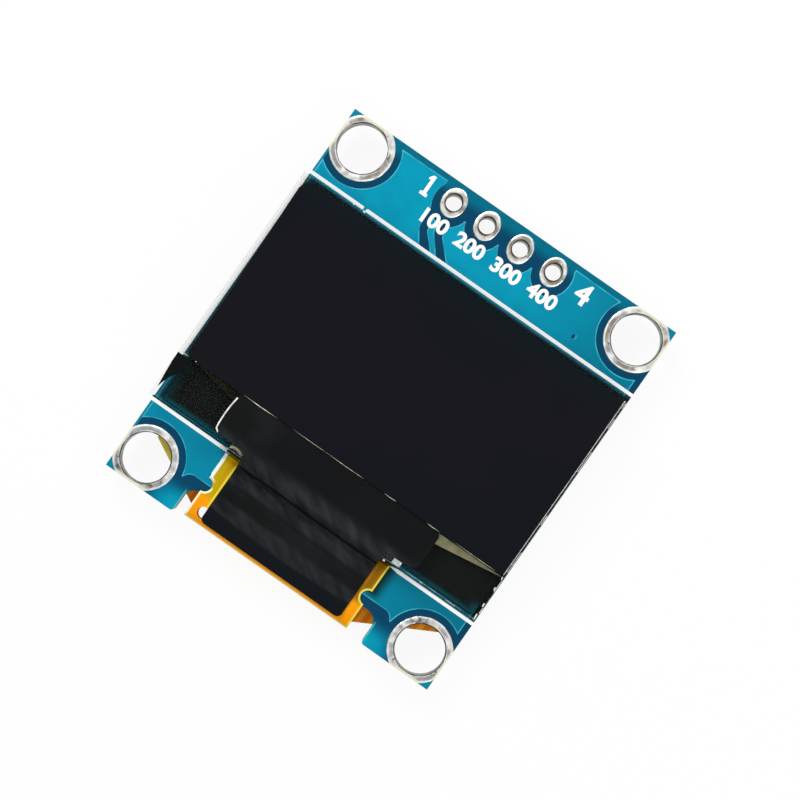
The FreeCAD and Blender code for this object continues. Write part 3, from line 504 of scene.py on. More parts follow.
# Tin on a mounting hole: a low crown on each face and the lining between, cut flush with the board's edges.
def mountingRings():
    hole = {"bore": 1.6, "lipSheen": 1.68, "crown": 1.86, "rim": 2.1, "proud": 0.05, "steps": 96}
    up, down = boardTop + hole["proud"], -hole["proud"]
    loops = [(r, r, z) for r, z in (
        (hole["bore"], down + 0.03), (hole["bore"], boardTop / 2), (hole["bore"], up - 0.035),
        (1.63, up - 0.012), (hole["lipSheen"], up - 0.004), (hole["crown"], up), (2.0, up - 0.01),
        (hole["rim"] - 0.02, up - 0.025), (hole["rim"], boardTop + 0.004), (hole["rim"], boardTop),
        (1.65, boardTop), (1.65, 0), (hole["rim"], 0), (hole["rim"], -0.004), (2.06, down + 0.02),
        (hole["crown"], down), (hole["lipSheen"], down + 0.004))]
    for number, (side, end) in enumerate(((-1, 1), (1, 1), (-1, -1), (1, -1)), 1):
        piece = ring("mounting_ring_%d" % number, holeX * side, holeY * end, loops, hole["steps"])
        uneven(piece, size=0.9, strength=0.05, middle=0.62)
        trim(piece, (boardSide * side, 0, 0), (side, 0, 0))
        trim(piece, (0, boardEnd * end, 0), (0, end, 0))
        show(soften(piece), "tinned_pad", tin, instead=["mounting_pad_%d" % number])


def headerRings():
    pad = {"bore": 0.52, "halfWidth": 0.815, "halfLength": 1.0, "proud": 0.05, "steps": 56}
    up, down = boardTop + pad["proud"], -pad["proud"]
    b, w, v = pad["bore"], pad["halfWidth"], pad["halfLength"]
    loops = [(b, b, down + 0.02), (b, b, up - 0.04), (b + 0.03, b + 0.03, up - 0.012),
             (b + 0.12, b + 0.14, up), (w - 0.14, v - 0.16, up), (w - 0.05, v - 0.05, up - 0.015),
             (w, v, boardTop + 0.004), (w, v, boardTop), (0.66, 0.66, boardTop), (0.66, 0.66, 0), (w, v, 0),
             (w, v, -0.004), (w - 0.05, v - 0.05, down + 0.015), (w - 0.14, v - 0.16, down),
             (b + 0.08, b + 0.1, down)]
    for number, x in enumerate(pins, 1):
        piece = ring("header_ring_%d" % number, x, pinY, loops, pad["steps"])
        uneven(piece, size=0.6, strength=0.04, middle=0.6)
        show(soften(piece), "tinned_pad", tin, instead=["header_pad_%d" % number])


mountingRings()
headerRings()
print("tinned holes")


# Printed lines and plain figures.
def legend():
    line = {"low": boardTop + 0.028, "high": boardTop + 0.045, "edge": 0.006}

    def drawn(name, loop):
        show(sheet(name, [loop], line["low"], line["high"], line["edge"]), "board", ink)

    side = boardSide
    drawn("line_top_left", [(-side, 8.70), (-8.3, 8.70), (-8.25, 8.76), (-8.3, 8.93), (-side, 8.93)])
    drawn("line_top_right", [(-8.05, 8.70), (side, 8.70), (side, 8.93), (-8.0, 8.93), (-8.1, 8.8)])
    drawn("line_left", [(-side, -8.4), (-side, -8.68), (-6.58, -8.68), (-6.55, -8.72), (-6.55, -10.3),
                        (-6.33, -10.5), (-6.33, -8.45), (-6.4, -8.4)])
    drawn("line_right", [(side, -8.52), (side, -8.75), (6.6, -8.75), (6.0, -8.66), (5.98, -8.6),
                         (6.5, -8.52)])
    drawn("line_burr_left", [(-9.0, 8.71), (-8.86, 8.71), (-8.9, 8.62)])
    drawn("line_burr_right", [(-8.2, 8.71), (-8.02, 8.71), (-8.05, 8.58), (-8.17, 8.62)])

    def figure(name, text, x, y, height, width=1.0):
        pickNone()
        bpy.ops.object.text_add(location=(x * mm, y * mm, (line["low"] + line["high"]) / 2 * mm))
        piece = bpy.context.object
        piece.name, piece.scale.x = name, width
        letters = piece.data
        letters.body, letters.size = text, height / 0.7 * mm
        letters.align_x, letters.align_y = "CENTER", "CENTER"
        letters.offset, letters.extrude = 0.05 * mm, (line["high"] - line["low"]) / 2 * mm
        show(madeMesh(piece), "board", ink)

    one = [(-0.27, 0), (0.27, 0), (0.27, 0.2), (0.13, 0.25), (0.13, 1.45), (-0.08, 1.45), (-0.27, 1.2),
           (-0.24, 1.08), (-0.11, 1.12), (-0.11, 0.25), (-0.27, 0.2)]
    drawn("figure_first", [(x - 5.72, y + 11.6) for x, y in one])
    figure("figure_last", "4", 6.15, 12.2, 1.35)
    for k, text in enumerate(("100", "200", "300", "400")):
        figure("figures_%d" % (k + 1), text, -4.2 + 2.76 * k, 10.64, 0.92, 1.05)


legend()
print("legend")


# Clear glass with painted light on its edge faces: patchy pale highlights, painted shade along its upper
# edge, and near white where only the floor lies behind.
def glassLook():
    look = Look("clear_glass", Roughness=0.04)
    side = look.step(look.upright, 0.95, 0.6)
    patchy = look.step(look.grain(3.0, 4, (1, 1, 0.3)), 0.3, 0.75)
    edge = look.mix(patchy, (0.34, 0.47, 0.46), (0.60, 0.72, 0.70))
    edge = look.mix(look.step(look.y, 8.2, 8.4), edge, (0.02, 0.15, 0.17))
    free = look.step(look.x, -12.22, -12.36)
    edge = look.mix(free, edge, (0.96, 0.98, 0.96))
    return look.give(Base_Color=look.mix(side, (0.10, 0.20, 0.19), edge),
                     Alpha=0.035 + side * (0.6 - free * 0.45))


def polarizerLook():
    look = Look("dark_film", Specular_IOR_Level=0.05)
    cloud = look.step(look.grain(0.12, 2), 0.3, 0.7)
    base = look.mix(cloud, (0.078, 0.074, 0.10), (0.066, 0.072, 0.098))
    greener = look.step(look.y, 6.2, 8.4)
    look.give(Base_Color=look.mix(greener * 0.5, base, (0.03, 0.10, 0.11)),
              Roughness=0.16 + look.grain(0.5, 3) * 0.08)
    return look.bump(look.grain(0.35, 2), 0.02, 0.15)


def plainLook(name, dark, pale, scale, rough, depth=0.01, **fixed):
    look = Look(name, **fixed)
    look.give(Base_Color=look.mix(look.step(look.grain(scale, 5), 0.3, 0.7), dark, pale),
              Roughness=rough + look.grain(scale * 2, 3) * 0.15)
    return look.bump(look.grain(scale * 3, 3), depth, 0.5)


glass, film = glassLook(), polarizerLook()
drying = plainLook("drying_sheet", (0.80, 0.79, 0.75), (0.90, 0.89, 0.86), 5, 0.8)
metalFilm = plainLook("metal_film", (0.30, 0.30, 0.33), (0.42, 0.42, 0.45), 0.5, 0.15, Metallic=1.0)
die = plainLook("bare_die", (0.16, 0.16, 0.19), (0.24, 0.24, 0.28), 3, 0.2, Metallic=0.4)
bonding = plainLook("bonding_film", (0.42, 0.38, 0.28), (0.56, 0.52, 0.42), 8, 0.5)


# Clear epoxy between the glasses, with painted light: painted dark for the shade over the board, and pale
# where the floor's light shows through from below.
def sealLook():
    look = Look("edge_epoxy", Alpha=0.3, Specular_IOR_Level=0.2)
    free = look.step(look.x, -12.15, -12.3)
    dark = look.mix(look.grain(2, 4), (0.0, 0.10, 0.12), (0.04, 0.20, 0.22))
    pale = look.mix(look.grain(2, 4), (0.88, 0.92, 0.88), (1.0, 1.0, 0.96))
    look.give(Base_Color=look.mix(free, dark, pale), Roughness=0.3 + look.grain(5, 3) * 0.2)
    return look.bump(look.grain(4, 3), 0.01, 0.4)


# Black foam, with painted light: the board's colour is painted a little along its left, right and lower
# edges, where light reaches in beneath.
def foamLook():
    look = Look("black_foam", Specular_IOR_Level=0.05)
    base = look.mix(look.grain(2, 4), (0.05, 0.052, 0.05), (0.085, 0.085, 0.078))
    left = look.step(look.x, -11.0, -11.95) * (look.step(look.y, -5.4, -7.8) * 0.35 + 0.1)
    right = look.step(look.x, 11.0, 12.0) * look.step(look.y, -7.0, -8.1)
    lit = look.step(look.y, -7.75, -8.2) | left | right
    look.give(Base_Color=look.mix(lit * look.step(look.z, 1.0, 1.3) * 0.75, base, (0.0, 0.34, 0.38)),
              Roughness=0.65 + look.grain(8, 3) * 0.2)
    return look.bump(look.grain(9, 3), 0.008, 0.5)


# Sealant at the flex cable's left end catches the light in a pale crescent.
def crescentLook():
    look = Look("bond_under_ledge", Roughness=0.3)
    away = look.near(-6.1, -8.82)
    pale = look.band(away, 0.66, 0.76, 0.05) * look.step(look.x, -5.2, -5.5) * look.step(look.y, -8.5, -8.4)
    base = look.mix(look.grain(3, 3), (0.05, 0.05, 0.03), (0.10, 0.10, 0.05))
    look.give(Base_Color=look.mix(pale, base, look.mix(look.grain(2, 3), (0.97, 0.95, 0.80),
                                                       (0.70, 0.68, 0.48))))
    return look.bump(look.grain(6, 3), 0.01, 0.4)


def gelLook():
    look = Look("dark_sealant", Coat_Weight=0.4, Specular_IOR_Level=0.3)
    base = look.mix(look.grain(1.5, 4), (0.02, 0.025, 0.01), (0.09, 0.09, 0.03))
    glint = look.step(look.near(5.42, -8.5), 0.1, 0.05)
    over = look.band(look.x, -6.45, 5.93, 0.06)
    look.give(Base_Color=look.mix(glint, base, (1.0, 1.0, 0.97)), Roughness=0.1 + look.grain(3, 3) * 0.15,
              Alpha=0.06 + over * 0.92)
    return look.bump(look.grain(2, 3), 0.02, 0.4)


foam, sealed, gel, crescent = foamLook(), sealLook(), gelLook(), crescentLook()
for name, look in (("front_glass", glass), ("back_glass", glass), ("polarizer", film), ("foam_tape", foam),
                   ("ledge_pad", foam), ("perimeter_seal", sealed), ("desiccant_sheet", drying),
                   ("emitter_layers", metalFilm), ("driver_chip", die), ("chip_bond_film", bonding),
                   ("flex_bond_film", crescent), ("joint_sealant", gel)):
    dress(nodes[name], look)


# Amber film with painted light: olive where the board lies behind it, orange where light comes through,
# near black at its head, and pale painted highlights at its edges, beside the tape and along its fold.
def flexLook():
    flex = {"left": -6.5, "right": 5.97, "biteAt": -11.07, "bite": 0.48, "tape": -5.52}
    look = Look("amber_film", Specular_IOR_Level=0.08)
    leftBite = look.near(flex["left"], flex["biteAt"]) - flex["bite"]
    rightBite = look.near(flex["right"], flex["biteAt"]) - flex["bite"]
    fromLeft, fromRight = (look.x - flex["left"]) & leftBite, (flex["right"] - look.x) & rightBite
    # Painted shade: darker gold towards the right.
    over = look.mix(look.step(look.x, -1.0, 2.0), (0.76, 0.65, 0.0), (0.55, 0.38, 0.0))
    over = look.mix(look.step(look.grain(1.2, 4, (3, 0.4, 1)), 0.4, 0.7) * 0.5, over, (0.74, 0.50, 0.0))
    free = look.mix(look.grain(0.8, 3), (0.98, 0.56, 0.0), (1.0, 0.68, 0.03))
    front = look.mix(look.step(look.y, -11.35, -11.95), over, free)
    front = look.mix(look.step(look.y, -8.80, -8.66), front, (0.05, 0.05, 0.0))
    upper = look.step(look.y, -10.75, -10.4)
    lower = look.step(look.y, -10.9, -11.2)
    # Painted highlights: white along the upper left edge, where the legend line under it shows too, cream
    # along the lower left, yellow along the right edge and beside the tape, pale along the fold.
    leftEdge = look.step(fromLeft, 0.21, 0.15)
    front = look.mix(leftEdge * upper * look.step(look.y, -8.6, -8.8), front, (0.93, 0.99, 0.98))
    front = look.mix(look.step(fromLeft, 0.16, 0.09) * lower, front, (1.0, 0.97, 0.80))
    front = look.mix(look.step(fromRight, 0.16, 0.08), front, (0.93, 0.84, 0.32))
    beside = look.band(look.x, flex["tape"] - 0.04, flex["tape"] + 0.04, 0.05)
    beside = beside * look.step(look.y, -12.4, -12.1) * look.step(look.y, -8.8, -9.2)
    front = look.mix(beside, front, (1.0, 0.90, 0.25))
    front = look.mix(look.step(look.y, -13.25, -13.42), front, (1.0, 0.85, 0.42))
    tracks = look.waves("X", 449.0, Distortion=1.2, Detail=1.0)
    back = look.mix(look.step(tracks, 0.35, 0.6) * 0.7, (1.0, 0.66, 0.12), (0.90, 0.44, 0.0))
    # Painted light: brighter yellow on the tail's upper face at its left end, seen through the lower left
    # hole.
    lit = look.step(look.x, -8.0, -9.2) * look.step(look.z, -0.13, -0.09)
    back = look.mix(lit, back, (1.0, 0.90, 0.36))
    behind = look.step(look.z, 0.9, 0.5)
    look.give(Base_Color=look.mix(behind, front, back), Roughness=0.25 + look.grain(2, 3) * 0.12)
    return look.bump(look.step(tracks, 0.3, 0.7) * behind + look.grain(1.2, 2) * 0.3, 0.012, 0.6)


dress(nodes["flex_cable"], flexLook())


# Black tape with painted light: paler bands where its slopes catch the light, and painted shade in its
# creases and near its foot.
def tapeLook():
    look = Look("black_tape", Specular_IOR_Level=0.05)
    streak = look.step(look.streaks(2.0, -32), 0.3, 0.8)
    base = look.mix(look.step(look.grain(0.3, 3), 0.35, 0.7), (0.07, 0.074, 0.076), (0.10, 0.105, 0.11))
    fold = look.y + look.grain(0.25, 1) * 0.35
    litSlopes = look.band(fold, -9.6, -7.8, 0.8) + look.band(fold, -11.9, -11.2, 0.4) * 0.7
    base = look.mix((streak * 0.45 + 0.08) * litSlopes, base, (0.25, 0.265, 0.275))
    quiet = look.step(look.y, -8.0, -7.2) * look.step(look.x, -5.4, -3.8)
    base = look.mix(quiet * 0.7, base, (0.06, 0.065, 0.07))
    creaseShade = look.band(fold, -8.80, -8.72, 0.07) | (look.band(fold, -10.05, -9.95, 0.2) * 0.5)
    base = look.mix(creaseShade * 0.85, base, (0.03, 0.035, 0.04))
    # Painted shade, darker and bluer, near the foot where the flex cable beneath rounds into its fold.
    below = look.step(look.y + look.x * look.x * -0.008, -12.15, -12.35)
    look.give(Base_Color=look.mix(below * 0.85, base, (0.05, 0.075, 0.10)),
              Roughness=0.34 + look.grain(0.9, 4) * 0.2)
    return look.bump(look.streaks(0.9, -40, 3.0) + look.grain(0.5, 3), 0.05, 0.5)


# The black tape lies on the ledge, drops over its end and follows the flex cable.
def creasedTape():
    tape = {"left": -7.82, "right": 7.42, "head": -5.07, "waist": -7.92, "narrowLeft": -5.445,
            "narrowRight": 5.205, "foot": -13.15, "thick": 0.07, "corner": 0.35, "rows": 64, "columns": 34}
    left, right, c = tape["left"], tape["right"], tape["corner"]
    inner, outer, waist, foot = tape["narrowLeft"], tape["narrowRight"], tape["waist"], tape["foot"]
    loop = rolled([], left + 0.15, tape["head"] - 0.15, 0.15, 90, 180, 4)
    loop = rolled(loop, left + 0.2, waist + 0.2, 0.2, 180, 270, 5)
    loop = rolled(loop, inner - 0.25, waist - 0.25, 0.25, 90, 0, 5)
    loop = rolled(loop, inner + c, foot + c, c, 180, 270, 6)
    loop = rolled(loop, outer - c, foot + c, c, 270, 360, 6)
    loop = rolled(loop, outer + 0.25, waist - 0.25, 0.25, 180, 90, 5)
    loop = rolled(loop, right - 0.6, waist + 0.6, 0.6, 270, 360, 8)
    loop = rolled(loop, right - 0.4, tape["head"] - 0.4, 0.4, 0, 90, 6)
    piece = sheet("creased_tape", [loop], 0, 0)
    openMesh(piece)
    rows, columns = tape["rows"], tape["columns"]
    slices((0, 1, 0), [foot + (tape["head"] - foot) * k / rows for k in range(1, rows)])
    slices((1, 0, 0), [left + (right - left) * k / columns for k in range(1, columns)])
    for y in sorted({round(v.co.y, 7) for v in bmesh.from_edit_mesh(piece.data).verts}):
        pick(piece, "VERT", lambda v: round(v.co.y, 7) == y)
        bpy.ops.transform.translate(value=(0, 0, tapeHeight(y / mm) * mm))
    closeMesh()
    finishWith(piece, "SOLIDIFY", thickness=tape["thick"] * mm, offset=-1)
    uneven(piece, size=2.2, strength=0.05, middle=0.5, direction="Z")
    show(soften(bevelled(piece, 0.015, degrees=60), 50), "tape", tapeLook(), instead=["front_tape"])


# The tape's upper face: it falls from the glass to the flex cable and is ridged where it was pressed down.
def tapeHeight(y):
    high, low = 2.605, 1.41
    fall = min(1.0, max(0.0, (-8.38 - y) / 1.15))
    fall = fall * fall * (3 - 2 * fall)
    ridges = sum(rise * math.exp(-((y - at) / wide) ** 2) for at, wide, rise in (
        (-9.3, 0.15, 0.04), (-9.6, 0.22, 0.05), (-10.6, 0.5, 0.02), (-12.03, 0.12, 0.05),
        (-12.5, 0.3, 0.01)))
    return high - (high - low) * fall + ridges * fall


creasedTape()


# Small things on the ledge: tracks under the glass, an alignment square, strips painted as highlights where
# edges catch the light, and dark strips painted as shade along the glass's foot and at the ledge's left
# end.
def ledgeMarks():
    under, flush, on = (2.018, 2.027), (2.518, 2.529), (2.531, 2.545)  # heights, low and high
    fan = plainLook("ledge_tracks", (0.50, 0.49, 0.33), (0.66, 0.64, 0.46), 1.5, 0.3)
    brown = plainLook("ledge_tracks_dim", (0.10, 0.07, 0.02), (0.18, 0.13, 0.05), 1.5, 0.4,
                      Specular_IOR_Level=0.05)
    bright = plainLook("bright_glint", (0.80, 0.81, 0.76), (0.98, 0.98, 0.95), 2.5, 0.3)
    cream = plainLook("cream_glint", (0.58, 0.55, 0.44), (0.92, 0.90, 0.80), 2.5, 0.3)
    square = plainLook("alignment_square", (0.62, 0.66, 0.64), (0.80, 0.84, 0.82), 4, 0.4)

    def strip(name, look, slot, heights, *loops):
        show(sheet(name, loops, *heights), slot, look)

    strip("fan_out_right", fan, "glass", under, [
        (7.2, -5.16), (12.05, -5.16), (11.6, -5.24), (7.45, -5.85)])
    strip("fan_out_left", brown, "glass", under, [(-11.1, -5.16), (-7.8, -5.16), (-8.1, -5.75)])
    strip("alignment_square", square, "glass", on, corners(5.87, -7.98, 6.45, -8.32))
    # Painted highlight along the tape's left edge.
    strip("tape_edge_glint", bright, "tape", (2.53, 2.62), [
        (-7.76, -5.42), (-7.84, -6.0), (-7.87, -6.6), (-7.84, -7.35), (-7.8, -7.66), (-7.6, -7.84),
        (-7.62, -7.92), (-7.87, -7.74), (-7.93, -7.4), (-7.96, -6.6), (-7.93, -6.0), (-7.86, -5.42)])
    foot = [(-7.7, -5.0, 0.06), (-4.0, -1.2, 0.03), (-1.4, 1.6, 0.045), (3.0, 4.0, 0.04), (6.2, 7.3, 0.05),
            (-12.3, -11.75, 0.05), (-11.3, -11.15, 0.05), (8.2, 11.6, 0.03)]
    # Painted glints along the dark film's foot.
    strip("film_foot_glints", cream, "polarizer", (2.66, 2.705), *(
        [(a, -5.05), ((a + b) / 2, -5.05 - wide), (b, -5.06), ((a + b) / 2, -5.03)] for a, b, wide in foot))
    # Painted highlights and glints along the glass's right edge and foot.
    strip("panel_edge_glint", bright, "glass", on, [
        (12.005, 8.2), (12.07, 8.2), (12.07, 1.0), (12.06, -5.0), (12.01, -5.0), (12.02, 1.0)])
    specks = [(8.1, 7.7), (6.9, 6.2), (4.4, 2.9), (-0.4, -1.1), (-3.2, -4.7), (-5.3, -6.2), (-7.4, -7.8)]
    strip("panel_edge_glint_specks", bright, "glass", on, *(corners(12.13, a, 12.165, b) for a, b in specks))
    ticks = [(-5.1, -5.3), (-5.9, -6.1), (-7.1, -7.35), (-7.9, -8.3)]
    strip("ledge_edge_glints", bright, "glass", on, *(
        [(12.02, a), (12.1, a), (12.12, b), (12.05, b)] for a, b in ticks))
    dim = plainLook("glass_foot_highlight", (0.10, 0.34, 0.36), (0.62, 0.82, 0.80), 1.1, 0.3,
                    Specular_IOR_Level=0.1)
    strip("glass_foot_highlight", dim, "glass", on, [(6.5, -8.27), (12.1, -8.25), (12.1, -8.28), (6.5, -8.3)])
    strip("glass_foot_glints", bright, "glass", on, *(
        [(a, -8.25), (b, -8.25), (b - 0.03, -8.31), (a + 0.03, -8.31)] for a, b in (
            (7.95, 8.2), (9.95, 10.7), (11.95, 12.15), (-0.4, -0.1))))
    shade = plainLook("ledge_foot_shade", (0.0, 0.10, 0.10), (0.0, 0.17, 0.17), 2, 0.5,
                      Specular_IOR_Level=0.05)
    strip("ledge_foot_shade_left", shade, "glass", flush, corners(-12.25, -8.27, -6.6, -8.36))
    strip("ledge_foot_shade_right", shade, "glass", flush, corners(6.4, -8.31, 12.1, -8.37))
    # Painted shade: a dark film at the ledge's left end.
    black = plainLook("ledge_end_shade", (0.03, 0.035, 0.04), (0.06, 0.065, 0.06), 2, 0.5,
                      Specular_IOR_Level=0.05)
    strip("ledge_end_shade", black, "glass", flush, [
        (-12.5, -5.2), (-11.4, -5.2), (-11.5, -5.9), (-12.1, -6.9), (-12.33, -7.7), (-12.44, -6.6),
        (-12.5, -5.9)])


ledgeMarks()
print("panel, flex cable and tape")


# Copies a finished piece with a mesh of its own, turned about z and moved.
def another(piece, name, x, y, degrees=0.0, wide=1.0):
    copied = piece.copy()
    copied.data = piece.data.copy()
    copied.name = name
    bpy.context.collection.objects.link(copied)
    copied.location, copied.scale.x = (x * mm, y * mm, 0), wide
    copied.rotation_euler.z = math.radians(degrees)
    return settle(copied)


def joined(name, pieces):
    only(pieces[0])
    for piece in pieces:
        piece.select_set(True)
    bpy.ops.object.join()
    bpy.context.object.name = name
    return bpy.context.object


ceramic = plainLook("tan_ceramic", (0.50, 0.38, 0.26), (0.62, 0.48, 0.34), 5, 0.35)
glaze = plainLook("black_glaze", (0.05, 0.05, 0.06), (0.10, 0.10, 0.11), 6, 0.25)
moulded = plainLook("black_moulding", (0.09, 0.09, 0.09), (0.14, 0.14, 0.14), 14, 0.6, 0.02)
solder = plainLook("bright_solder", (0.72, 0.72, 0.71), (0.88, 0.88, 0.86), 2, 0.12, 0.02, Metallic=1.0)
white = plainLook("white_ceramic", (0.84, 0.83, 0.79), (0.93, 0.92, 0.89), 4, 0.4)
for word, look in (("capacitor", ceramic), ("resistor", glaze), ("_body", moulded), ("_leads", solder),
                   ("solder", solder)):
    for name in nodes:
        if word in name:
            dress(nodes[name], look)

# Rows of chip parts by their height on the board, and the flex cable's fingers
row = {"pump": -2.55, "resistor": 2.6, "supply": 7.75}
capacitors = [(-8.5 + 3.4 * k, row["pump"]) for k in range(6)]
capacitors += [(x, row["supply"]) for x in (5.2, 7.6)]
resistors = [(-8.1 + 2.7 * k, row["resistor"]) for k in range(7)]
fingers = [-10.05 + 0.7 * k for k in range(30)]


# A chip part lies below the board: a ceramic block, and a rounded metal cap at each end.
def chipPart(name, high, core):
    part = {"halfLength": 0.8, "halfWidth": 0.4, "cap": 0.32, "step": 0.025, "round": 0.07}
    w, h, step = part["halfWidth"], part["halfLength"], part["step"]
    body = dress(block(name, (step - w, 0.1 - h, step - high), (w - step, h - 0.1, -step)), core)
    pieces = [bevelled(body, 0.03, 2)]
    for side in (-1, 1):
        near, far = sorted((side * h, side * (h - part["cap"])))
        cap = dress(block(name + "_cap", (-w, near, -high), (w, far, 0)), solder)
        pieces.append(bevelled(cap, part["round"], 3))
    return pieces


def spread(kind, pieces, places):
    first = joined("chip_" + kind, pieces)
    for k, (x, y) in enumerate(places, 1):
        show(soften(another(first, "chip_%s_%d" % (kind, k), x, y)), kind + "_ceramic",
             instead=["%s_%d" % (kind, k)])
    bpy.data.objects.remove(first)


def chipParts():
    spread("capacitor", chipPart("chip_capacitor", 0.8, ceramic), capacitors)
    coat = bevelled(dress(block("coat", (-0.36, -0.47, -0.447), (0.36, 0.47, -0.40)), glaze), 0.015, 2)
    spread("resistor", chipPart("chip_resistor", 0.45, white) + [coat], resistors)


# Solder climbs each end in a hollow slope.
def solderFillets():
    slope = [(-0.02, 0), (0.3, 0), (0.3, 0.012), (0.24, 0.03), (0.16, 0.065), (0.09, 0.115), (0.035, 0.175),
             (0.0, 0.22), (-0.02, 0.22)]
    first = sheet("fillet", [slope], -0.38, 0.38, 0.02)
    first.rotation_euler = Matrix(((0, 0, -1), (1, 0, 0), (0, -1, 0))).to_euler()
    settle(first)
    places = [(x, y + 0.8 * side, 90 - 90 * side, 1.0)
              for x, y in capacitors + resistors for side in (-1, 1)]
    places += [(-1.35, 8.95, 0, 0.5), (0.55, 8.95, 0, 0.5), (-0.4, 6.55, 180, 0.5)]
    places += [(-4.95, row["supply"], -90, 0.38), (-7.45, row["supply"], 90, 0.38)]
    piece = joined("solder_fillets", [another(first, "fillet_%d" % k, *at) for k, at in enumerate(places)])
    bpy.data.objects.remove(first)
    show(soften(piece, 60), "solder", solder, instead=["component_solder"])


# A bead of solder runs along each finger of the flex cable's tail and down to its land.
def fingerBeads():
    bead = {"head": -6.62, "toe": -4.52, "step": -4.95, "half": 0.19, "low": -0.235, "high": -0.04}
    half, step = bead["half"], bead["step"]
    first = block("bead", (-half, bead["head"], bead["low"]), (half, bead["toe"], bead["high"]))
    openMesh(first)
    slices((0, 1, 0), (step - 0.5, step, step + 0.12))
    pick(first, "VERT", lambda v: v.co.y > (step + 0.06) * mm)
    bpy.ops.transform.translate(value=(0, 0, 0.075 * mm))
    pick(first, "VERT", lambda v: v.co.y < (bead["head"] + 0.01) * mm or v.co.y > (bead["toe"] - 0.01) * mm)
    bpy.ops.transform.resize(value=(0.8, 1, 0.8))
    closeMesh()
    bevelled(first, 0.07, 3, degrees=50)
    piece = joined("finger_beads", [another(first, "bead_%d" % k, x, 0) for k, x in enumerate(fingers)])
    bpy.data.objects.remove(first)
    uneven(piece, size=0.5, strength=0.03, middle=0.55)
    show(soften(piece, 80), "solder", solder, instead=["flex_solder_joints"])


# Two drafted halves that meet where the leads come out, and a dimple at the first lead.
def mouldedPackage(name, x, y, half, low, high, dimple=None):
    draft = 0.06
    piece = block(name, (x - half[0], y - half[1], -high), (x + half[0], y + half[1], -low))
    openMesh(piece)
    middle = -(low + high) / 2
    slices((0, 0, 1), [middle])
    pick(piece, "VERT", lambda v: abs(v.co.z - middle * mm) > 0.01 * mm)
    bpy.ops.transform.resize(value=(1 - draft / half[0], 1 - draft / half[1], 1),
                             center_override=(x * mm, y * mm, 0))
    closeMesh()
    if dimple:
        carve(piece, rod("dimple", x + dimple[0], y + dimple[1], 0.16, -high - 0.1, 0.04 - high, steps=32))
    bevelled(piece, 0.025, 2, degrees=25)
    show(soften(piece, 40), "moulding", moulded, instead=[name.replace("package", "body")])


# Tracks keep their width round each bend.
def track(points, width):
    sides = []
    for before, at, after in zip(points[:1] + points, points, points[1:] + points[-1:]):
        along = (Vector(after) - Vector(before)).normalized()
        sides.append((Vector(at), Vector((-along.y, along.x)) * width / 2))
    return [tuple(p + n) for p, n in sides] + [tuple(p - n) for p, n in reversed(sides)]


def backCopper():
    copper = {"side": 12.05, "foot": -11.05, "head": 13.4, "low": -0.03, "high": 0.004, "ring": 2.45,
              "track": 0.28, "pinTrack": 0.3}
    wide, high = copper["track"], copper["high"]
    piece = block("back_copper", (-copper["side"], copper["foot"], copper["low"]),
                  (copper["side"], copper["head"], high))
    for x, y in holes:
        carve(piece, rod("clear", x, y, copper["ring"], -1, 1, steps=96))
    carve(piece, block("notch", (-7.5, -14, -1), (7.5, -11.0, 1)))
    carve(piece, block("pins", (-5.4, 11.0, -1), (5.4, 14, 1)))
    windows = [(-11.2, -4.75, 11.4, -3.95), (-9.3, row["pump"] - 1.45, 9.3, row["pump"] + 1.45),
               (-8.8, row["resistor"] - 1.35, 8.8, row["resistor"] + 1.35),
               (-8.1, row["supply"] - 1.5, 8.4, row["supply"] + 1.7)]
    for x0, y0, x1, y1 in windows:
        carve(piece, block("window", (x0, y0, -1), (x1, y1, 1)))
    show(soften(bevelled(piece, 0.015, degrees=60), 60), "board", mask)

    upper, supply = row["resistor"], row["supply"]
    runs = []
    for x, y in capacitors[:6]:
        near = min(fingers, key=lambda f: abs(f - x))
        runs.append(track([(near, -4.5), (near, -4.0), (x, -3.8), (x, y - 0.8)], wide))
        above = min(resistors, key=lambda r: abs(r[0] - x))[0]
        runs.append(track([(x, y + 0.8), (x, y + 1.7), (above, upper - 1.5), (above, upper - 0.8)], wide))
    for k, (pin, at) in enumerate(zip(pins, (-1.35, 0.55, 5.2, 7.6))):
        runs.append(track([(pin, 11.45), (pin, 11.0), (at, 9.9 + 0.12 * k), (at, 8.8)], copper["pinTrack"]))
    for x, at in ((-2.7, -0.4), (5.4, 5.2), (8.1, 7.6), (-5.4, -4.95)):
        runs.append(track([(x, upper + 0.8), (x, 5.0), (at, 5.7), (at, 6.6)], wide))
    for k, run in enumerate(runs):
        show(sheet("back_track_%d" % k, [run], -0.034, high, 0.008), "board", maskRim)

    lands = [corners(x - 0.5, y + a, x + 0.5, y + b)
             for x, y in capacitors + resistors for a, b in ((0.45, 1.2), (-1.2, -0.45))]
    lands += [corners(x - 0.3, a, x + 0.3, b)
              for x, a, b in ((-1.35, 8.5, 9.4), (0.55, 8.5, 9.4), (-0.4, 6.1, 7.0))]
    lands += [corners(a, supply - 0.3, b, supply + 0.3) for a, b in ((-5.4, -4.55), (-7.85, -7.0))]
    lands += [corners(x - 0.22, -4.9, x + 0.22, -4.4) for x in fingers]
    show(sheet("back_lands", lands, -0.04, high, 0.008), "tinned_pad", solder)


chipParts()
solderFillets()
fingerBeads()
regulator = {"x": -0.4, "half": (1.45, 0.65), "low": 0.08, "high": 1.0, "dimple": (-1.05, 0.3)}
diode = {"x": -6.2, "half": (0.85, 0.625), "low": 0.12, "high": 0.9}
mouldedPackage("regulator_package", y=row["supply"], **regulator)
mouldedPackage("diode_package", y=row["supply"], **diode)
backCopper()
print("back")


